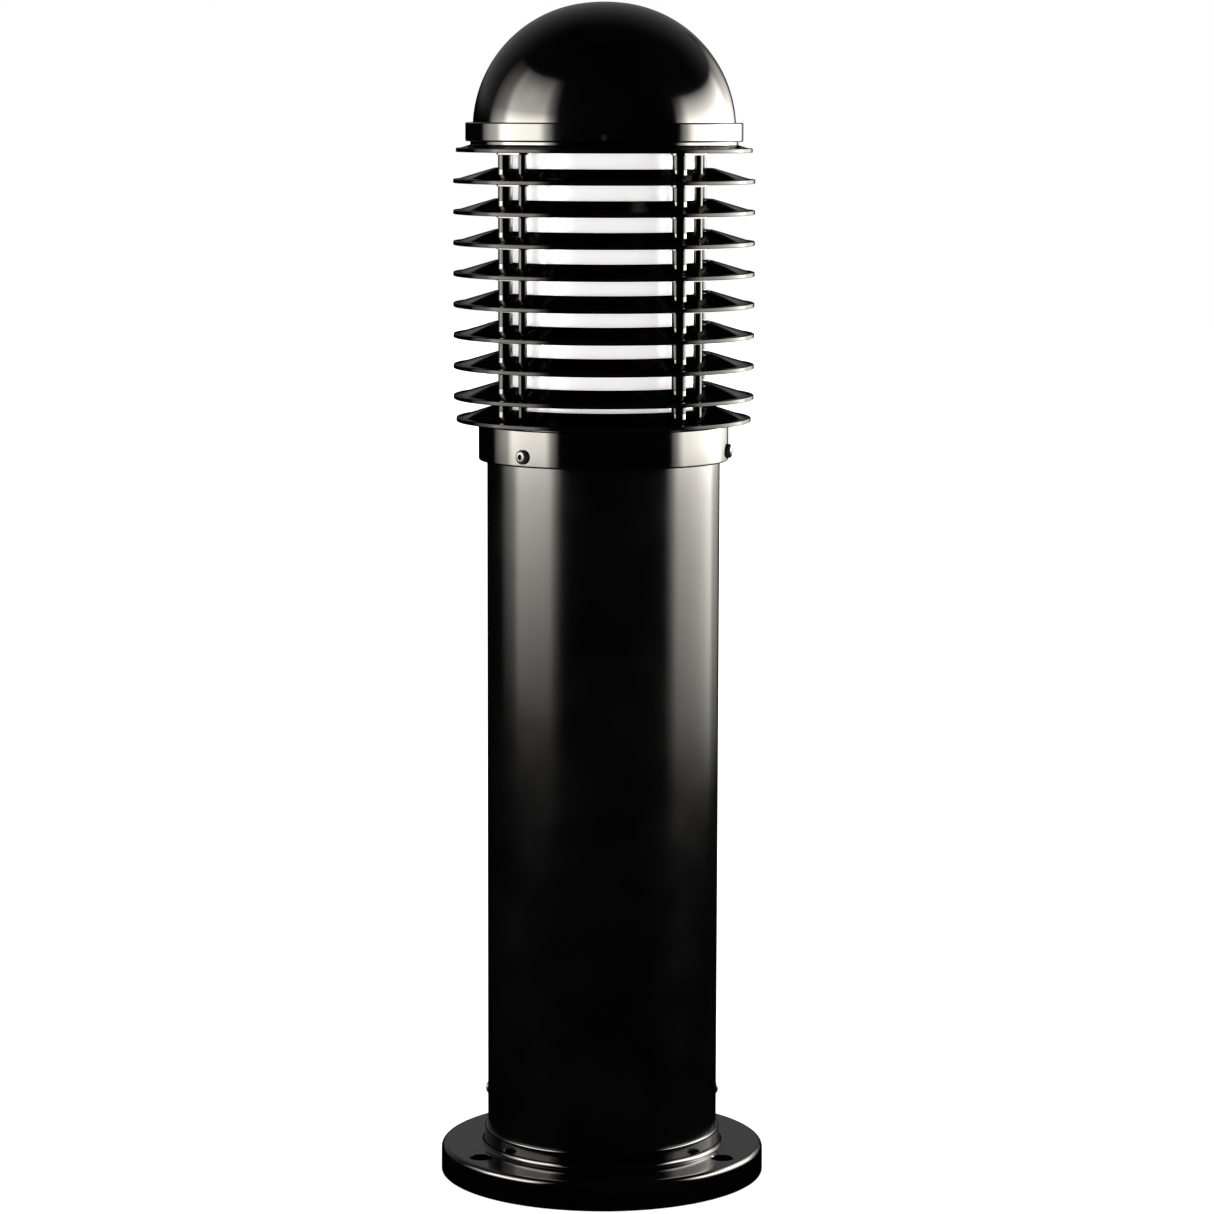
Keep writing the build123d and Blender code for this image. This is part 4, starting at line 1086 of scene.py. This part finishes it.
class BOLLARD_OT_louvres(bpy.types.Operator):
    """Make the stack of louvre rings"""

    bl_idname = "bollard.louvres"
    bl_label = "Louvres"

    def execute(self, context):
        blades = context.scene.bollard_blades
        posts = context.scene.bollard_posts
        crest = blades.edge + blades.rise
        lip_outer = blades.lip + blades.lip_wall
        casting = turned(
            rounded(
                [
                    *blade_top(blades, blades.tip, 0),
                    (blades.lip, crest, 1 * MM),
                    (blades.lip, blades.lip_height, 1 * MM),
                    (lip_outer, blades.lip_height, 1 * MM),
                    (lip_outer, crest - blades.edge, 1 * MM),
                    (blades.tip - blades.rim, 0, blades.heel),
                ]
            ),
            blades.segments,
        )
        places = post_places(posts)
        bosses = copies(prism(48, posts.radius, 0.4 * MM, posts.boss), height=0.0, **places)
        through = (-posts.pad_drop - 1 * MM, posts.boss + 1 * MM)
        holes = copies(prism(32, posts.bolt, *through), height=0.0, **places)
        rod_holes = copies(
            prism(32, posts.rod + posts.rod_gap, *through), height=0.0, **rod_places(posts)
        )
        enamelled = FINISH["enamel_on_blades"]
        raised = together(bosses, pad_copies(posts, 0.0))
        ring = drilled(casting, raised, together(holes, rod_holes), enamelled)
        stack = copies(
            ring,
            enamelled,
            round_count=1,
            bearing=pi / 2,
            step=0.0,
            circle=0.0,
            height=louvre_low.z + posts.pad_drop,
            up=blades.count,
            pitch=next_low.z - louvre_low.z,
        )
        nodes = [f"louvre_{number}" for number in range(1, blades.count + 1)]
        piece("louvre_rings", stack, enamelled, "head", "black_enamel_casting", *nodes)
        return {"FINISHED"}


class BOLLARD_OT_posts(bpy.types.Operator):
    """Make the tubular spacers that stand between the blades"""

    bl_idname = "bollard.posts"
    bl_label = "Posts"

    def execute(self, context):
        blades = context.scene.bollard_blades
        posts = context.scene.bollard_posts
        head = context.scene.bollard_head
        pitch = next_low.z - louvre_low.z
        first = tube_high.z + head.deck + head.neck_height
        second = louvre_low.z + posts.pad_drop
        enamelled = FINISH["enamel_on_posts"]
        gaps = (
            ("spacers_above_base", first, second - first, 1, "post_spacers_short"),
            ("spacers", second, pitch, blades.count, "post_spacers"),
        )
        for name, low, gap, up, node in gaps:
            tall = gap - posts.boss - posts.pad_drop
            spacer = turned(
                rounded(
                    [
                        (posts.bolt, 0, 0),
                        (posts.radius, 0, posts.joint),
                        (posts.radius, tall, posts.joint),
                        (posts.bolt, tall, 0),
                    ],
                    step=radians(30),
                ),
                56,
            )
            stack = copies(
                spacer,
                enamelled,
                height=low + posts.boss,
                up=up,
                pitch=gap,
                **post_places(posts),
            )
            piece(name, stack, enamelled, "head", "black_enamel_casting", node)
        end = 0.3 * MM
        foot = first + posts.rod_seat
        top = cap_low.z + posts.pad_drop + posts.rod_reach
        outline = [(0, foot, 0), (posts.rod, foot, end), (posts.rod, top, end), (0, top, 0)]
        rod = turned(rounded(outline), 48)
        rods = copies(rod, FINISH["enamel_on_posts"], height=0.0, **rod_places(posts))
        piece("rods", rods, FINISH["enamel_on_posts"], "head", "black_steel", "locating_rods")
        return {"FINISHED"}


class BOLLARD_OT_diffuser(bpy.types.Operator):
    """Make the opal diffuser tube"""

    bl_idname = "bollard.diffuser"
    bl_label = "Diffuser"

    def execute(self, context):
        edge = 0.6 * MM
        bore = lens_high.x - context.scene.bollard_head.lens_wall
        tube = turned(
            rounded(
                [
                    (bore, lens_low.z, edge),
                    (lens_high.x, lens_low.z, edge),
                    (lens_high.x, lens_high.z, edge),
                    (bore, lens_high.z, edge),
                ]
            )
        )
        lens = piece("opal_tube", tube, FINISH["opal_acrylic"], "head", "opal_acrylic", "diffuser")
        lens.visible_glossy = False
        return {"FINISHED"}


class BOLLARD_OT_cap_ring(bpy.types.Operator):
    """Make the cap ring with the highest blade and the groove round the dome"""

    bl_idname = "bollard.cap_ring"
    bl_label = "Cap Ring"

    def execute(self, context):
        sizes = context.scene.bollard_cap
        blades = context.scene.bollard_blades
        posts = context.scene.bollard_posts
        outer, inner, lip = seat_sizes()
        level = cap_low.z + posts.pad_drop
        top = cap_high.z
        bottom = top - sizes.ring_height
        seat = top - sizes.seat_depth
        heel = blades.end_tip - blades.rim
        climb = (blades.rise - blades.slope) * (heel - sizes.neck_radius) / (heel - blades.crest)
        neck_foot = level + blades.edge + blades.slope + climb
        ledge = level + sizes.inner_floor
        groove_top = level + sizes.groove_depth
        under = level + sizes.under
        casting = turned(
            rounded(
                [
                    *blade_top(blades, blades.end_tip, level)[:3],
                    (sizes.neck_radius, neck_foot, 0.4 * MM),
                    (sizes.neck_radius, bottom, 0.4 * MM),
                    (sizes.ring_radius, bottom, sizes.ring_edge),
                    (sizes.ring_radius, top, sizes.ring_edge),
                    (sizes.groove_radius, top, 0.5 * MM),
                    (sizes.groove_radius, seat, 0),
                    (sizes.bore, seat, 0.5 * MM),
                    (sizes.bore, ledge, 0),
                    (lip, ledge, 0.5 * MM),
                    (lip, level, 0.5 * MM),
                    (inner, level, 0),
                    (inner, groove_top, 0),
                    (outer, groove_top, 0),
                    (outer, level, 0.5 * MM),
                    (blades.lip, level, 0.5 * MM),
                    (blades.lip, under, 1 * MM),
                    (blades.lip + 8 * MM, under, 1 * MM),
                    (heel, level, blades.heel),
                ]
            )
        )
        places = post_places(posts)
        bosses = copies(prism(48, posts.radius, 1 * MM, bottom - level), height=level, **places)
        rod_holes = copies(
            prism(32, posts.rod, -posts.pad_drop - 1 * MM, posts.rod_reach),
            height=level,
            **rod_places(posts),
        )
        pocket = turned(
            [
                (0, -20 * MM),
                (posts.bolt, -20 * MM),
                (posts.bolt, -sizes.bolt_pocket),
                (sizes.bolt_head, -sizes.bolt_pocket),
                (sizes.bolt_head, 1 * MM),
                (0, 1 * MM),
            ],
            48,
        )
        pockets = copies(pocket, height=seat, **places)
        screw_hole = prism(32, sizes.screw_hole, sizes.bore - sizes.ring_radius - 1 * MM, 2 * MM)
        screw_holes = copies(
            screw_hole,
            round_count=3,
            bearing=0.0,
            step=2 * pi / 3,
            circle=sizes.ring_radius,
            height=sizes.screw_height,
            tilt=pi / 2,
        )
        enamelled = FINISH["enamel_on_blades"]
        raised = together(bosses, pad_copies(posts, level))
        mesh = drilled(casting, raised, together(pockets, screw_holes, rod_holes), enamelled)
        piece("cap_casting", mesh, enamelled, "head", "black_enamel_casting", "cap_ring")
        return {"FINISHED"}


class BOLLARD_OT_dome(bpy.types.Operator):
    """Make the dome shell"""

    bl_idname = "bollard.dome"
    bl_label = "Dome"

    def execute(self, context):
        sizes = context.scene.bollard_dome
        foot = sizes.rim_height
        tilt = asin(sizes.side_inset / sizes.crown_excess)
        drop = sizes.crown_excess * cos(tilt)
        join = pi / 2 - tilt

        def arcs(inset, start):
            """Points from the foot to the pole, moved inwards by an inset."""
            side = sizes.side_radius - inset
            crown = side + sizes.crown_excess
            points = []
            for count in range(36):
                angle = start + (join - start) * count / 36
                points.append((sizes.side_inset + side * cos(angle), foot + side * sin(angle)))
            for count in range(7):
                angle = join + tilt * count / 6
                across = crown * cos(angle) if count < 6 else 0.0
                points.append((across, foot - drop + crown * sin(angle)))
            return points

        edge = sizes.rim_edge
        outside = arcs(0, asin(2 * edge / sizes.side_radius))
        inside = arcs(sizes.wall, asin(sizes.rim / (sizes.side_radius - sizes.wall)))
        low = dome_low.z
        rim = rounded(
            [
                (sizes.spigot_bore, foot + sizes.rim, 0.5 * MM),
                (sizes.spigot_bore, low, 0.5 * MM),
                (sizes.spigot, low, 0.5 * MM),
                (sizes.spigot, foot, 0),
                (sizes.side_inset + sizes.side_radius, foot, edge),
                (outside[0][0], outside[0][1], 0),
                (inside[0][0], inside[0][1], 0),
            ]
        )
        outline = rim[:-2] + [Vector(point) for point in outside + inside[::-1]]
        shell = turned(outline, 256)
        piece(
            "dome", shell, FINISH["enamel_on_casting"], "dome", "black_enamel_casting", "dome_shell"
        )
        return {"FINISHED"}


class BOLLARD_OT_studio(bpy.types.Operator):
    """Make the floor, the softboxes, the world and the camera"""

    bl_idname = "bollard.studio"
    bl_label = "Studio"

    def execute(self, context):
        settings = context.scene.bollard_studio
        colours = context.scene.bollard_finishes
        self.add_camera(context, settings)
        self.add_floor(context, colours)
        self.add_world(context)
        light = colours.light
        distance = settings.softbox_distance
        # Each panel's brightness: (bearing, share) from side to side and (height, share) upwards.
        for name, strength, across, upwards in (
            (
                "softbox_left",
                30.0,
                ((-40, 0), (-47, 0.3), (-53, 1), (-89, 1), (-96, 0.3), (-117, 0)),
                ((0.18, 0), (0.49, 0.24), (0.53, 0.6), (0.95, 1), (1.25, 0.3), (2.2, 0.02)),
            ),
            (
                "softbox_right",
                30.0,
                ((62, 0), (69, 0.3), (76, 1), (127, 1), (136, 0.3), (160, 0)),
                ((0.1, 0), (0.49, 0.24), (0.53, 0.6), (0.95, 1), (1.25, 0.4), (1.6, 0)),
            ),
            ("lamp_left", 60.0, ((-65, 1), (-75, 1)), ((1.5, 1), (1.76, 1))),
        ):
            self.add_softbox(context, name, strength, across, upwards, distance, light)
        context.scene.view_settings.view_transform = "Standard"
        return {"FINISHED"}

    def add_camera(self, context, settings):
        """Camera in front, a little above the head and looking down."""
        camera = bpy.data.objects.new("camera", bpy.data.cameras.new("camera"))
        camera.data.lens = settings.lens
        camera.data.sensor_width = 36.0
        camera.location = (0, -settings.distance, settings.height)
        camera.rotation_euler = (pi / 2 - settings.pitch, -settings.roll, -settings.yaw)
        context.scene.collection.objects.link(camera)
        context.scene.camera = camera

    def add_floor(self, context, colours):
        """Plain pale floor, kept out of the enamel's reflections as a dark flag would keep it."""
        body = bmesh.new()
        bmesh.ops.create_grid(body, x_segments=8, y_segments=8, size=14.0)
        mesh = bpy.data.meshes.new("studio_floor")
        body.to_mesh(mesh)
        body.free()
        # Painted floor, rolled matt white: even, with a barely visible roller mottle.
        material, tree, place, shader = surface("rolled_matt_paint", {"IOR": 1.45})
        wander(tree, place, shader, (colours.floor, colours.floor), (0.8, 0.9), 40 * MM)
        mesh.materials.append(material)
        floor = bpy.data.objects.new("studio_floor", mesh)
        context.scene.collection.objects.link(floor)
        floor.visible_glossy = False

    def add_world(self, context):
        """White to the eye and for soft fill; dim behind and dark in front in reflections."""
        world = bpy.data.worlds.new("studio")
        world.use_nodes = True
        tree = world.node_tree
        tree.nodes.clear()
        place = add(tree, "ShaderNodeTexCoord").outputs["Generated"]
        split = add(tree, "ShaderNodeSeparateXYZ", inputs={0: place}).outputs
        behind = add(
            tree,
            "ShaderNodeMapRange",
            {"interpolation_type": "SMOOTHSTEP"},
            {
                "Value": split["Y"],
                "From Min": 0.2,
                "From Max": 0.95,
                "To Min": 0.004,
                "To Max": 0.2,
            },
        ).outputs[0]
        above = add(
            tree,
            "ShaderNodeMapRange",
            {"interpolation_type": "SMOOTHSTEP"},
            {"Value": split["Z"], "From Min": 0.05, "From Max": 0.2},
        ).outputs[0]
        dim = add(tree, "ShaderNodeMath", {"operation": "MULTIPLY"}, {0: behind, 1: above})
        dark = add(
            tree, "ShaderNodeBackground", inputs={"Color": (1, 1, 1, 1), "Strength": dim.outputs[0]}
        )
        white = add(
            tree, "ShaderNodeBackground", inputs={"Color": (1, 1, 1, 1), "Strength": 1.0}
        )
        fill = add(
            tree, "ShaderNodeBackground", inputs={"Color": (1, 1, 1, 1), "Strength": 2.2}
        )
        path = add(tree, "ShaderNodeLightPath").outputs
        mixed = white
        for ray, shader in (("Is Diffuse Ray", fill), ("Is Glossy Ray", dark)):
            mixed = add(
                tree,
                "ShaderNodeMixShader",
                inputs={"Fac": path[ray], 1: mixed.outputs[0], 2: shader.outputs[0]},
            )
        add(tree, "ShaderNodeOutputWorld", inputs={"Surface": mixed.outputs[0]})
        context.scene.world = world

    def add_softbox(self, context, name, strength, across, upwards, distance, light):
        """A curved glowing panel round the bollard that only its reflections show."""
        columns, rows = 40, 10
        body = bmesh.new()
        sheet = body.loops.layers.uv.new("panel")
        grid = []
        for row in range(rows + 1):
            up = upwards[0][0] + (upwards[-1][0] - upwards[0][0]) * row / rows
            line = []
            for column in range(columns + 1):
                turned_by = across[0][0] + (across[-1][0] - across[0][0]) * column / columns
                bearing = radians(turned_by)
                line.append(body.verts.new((distance * sin(bearing), -distance * cos(bearing), up)))
            grid.append(line)
        for row in range(rows):
            for column in range(columns):
                right, top = column + 1, row + 1
                places = [(row, column), (row, right), (top, right), (top, column)]
                face = body.faces.new([grid[up][along] for up, along in places])
                for loop, (up, along) in zip(face.loops, places):
                    loop[sheet].uv = (along / columns, up / rows)
        mesh = bpy.data.meshes.new(name)
        body.to_mesh(mesh)
        body.free()
        material = bpy.data.materials.new(name)
        material.use_nodes = True
        tree = material.node_tree
        tree.nodes.clear()
        # Fabric-fronted softbox, brighter where the lamp behind it is nearer.
        place = add(tree, "ShaderNodeUVMap", {"uv_map": "panel"}).outputs[0]
        split = add(tree, "ShaderNodeSeparateXYZ", inputs={0: place}).outputs
        power = add(tree, "ShaderNodeValue")
        power.outputs[0].default_value = strength
        for axis, stops in (("X", across), ("Y", upwards)):
            ramp = add(tree, "ShaderNodeValToRGB", inputs={"Fac": split[axis]})
            low, high = stops[0][0], stops[-1][0]
            shades = ramp.color_ramp.elements
            shades.remove(shades[1])
            for index, (where, share) in enumerate(stops):
                at = (where - low) / (high - low)
                shade = shades.new(at) if index else shades[0]
                shade.position = at
                shade.color = (share, share, share, 1)
            power = add(
                tree,
                "ShaderNodeMath",
                {"operation": "MULTIPLY"},
                {0: power.outputs[0], 1: ramp.outputs[0]},
            )
        glow = add(
            tree,
            "ShaderNodeEmission",
            inputs={"Color": opaque(light), "Strength": power.outputs[0]},
        )
        add(tree, "ShaderNodeOutputMaterial", inputs={"Surface": glow.outputs[0]})
        mesh.materials.append(material)
        panel = bpy.data.objects.new(name, mesh)
        context.scene.collection.objects.link(panel)
        panel.visible_camera = False
        panel.visible_shadow = False
        panel.visible_diffuse = False


class BOLLARD_OT_inside(bpy.types.Operator):
    """Finish the lamp, the control gear, the gaskets and the fixings inside the closed head"""

    bl_idname = "bollard.inside"
    bl_label = "Inside"

    def execute(self, context):
        parts = {
            "brass": "earth_stud socket_shell centre_contact lamp_base",
            "zinc": "tie_bolts reflector_screws bracket_screws lampholder_nipple lampholder_nut"
            " gear_tray tray_screws gear_screws capacitor_clip",
            "spun_aluminium": "top_reflector capacitor",
            "white_enamel": "lamp_bracket",
            "porcelain": "lampholder_body",
            "lamp_glass": "lamp_bulb",
            "quartz": "arc_tube",
            "laminations": "ballast_core",
            "winding": "ballast_coil",
            "black_nylon": "ignitor cable_clamp",
            "white_nylon": "terminal_block",
            "silicone": "lamp_lead ballast_lead ignitor_lead",
            "gasket": "diffuser_gasket_lower diffuser_gasket_upper dome_gasket",
            "black_oxide_steel": "dome_screw_1 dome_screw_2 dome_screw_3",
        }
        for finish, nodes in parts.items():
            refinish(FINISH[finish], *nodes.split())
            for node in nodes.split():
                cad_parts[node].visible_glossy = False
        return {"FINISHED"}


OPERATORS = (
    BOLLARD_OT_studio,
    BOLLARD_OT_base,
    BOLLARD_OT_column,
    BOLLARD_OT_head_base,
    BOLLARD_OT_louvres,
    BOLLARD_OT_posts,
    BOLLARD_OT_diffuser,
    BOLLARD_OT_cap_ring,
    BOLLARD_OT_dome,
    BOLLARD_OT_inside,
)


class BOLLARD_PT_sidebar(bpy.types.Panel):
    """Lists the pieces of the bollard and their sizes"""

    bl_label = "Louvred Bollard Light"
    bl_idname = "BOLLARD_PT_sidebar"
    bl_space_type = "VIEW_3D"
    bl_region_type = "UI"
    bl_category = "Bollard"

    def draw(self, context):
        layout = self.layout
        for operator in OPERATORS:
            layout.operator(operator.bl_idname)
        for name in SETTINGS:
            box = layout.box()
            settings = getattr(context.scene, name)
            for prop in SETTINGS[name].__annotations__:
                box.prop(settings, prop)


def register():
    """Adds the settings, the operators and the panel."""
    for name, group in SETTINGS.items():
        bpy.utils.register_class(group)
        setattr(bpy.types.Scene, name, PointerProperty(type=group))
    for made in (*OPERATORS, BOLLARD_PT_sidebar):
        bpy.utils.register_class(made)


def unregister():
    """Takes them away again."""
    for made in (BOLLARD_PT_sidebar, *reversed(OPERATORS)):
        bpy.utils.unregister_class(made)
    for name, group in reversed(SETTINGS.items()):
        delattr(bpy.types.Scene, name)
        bpy.utils.unregister_class(group)


FINISH = {}


def main():
    """Makes the whole bollard."""
    register()
    FINISH.update(make_finishes(bpy.context.scene.bollard_finishes))
    for operator in OPERATORS:
        group, call = operator.bl_idname.split(".")
        getattr(getattr(bpy.ops, group), call)()


if __name__ == "__main__":
    main()
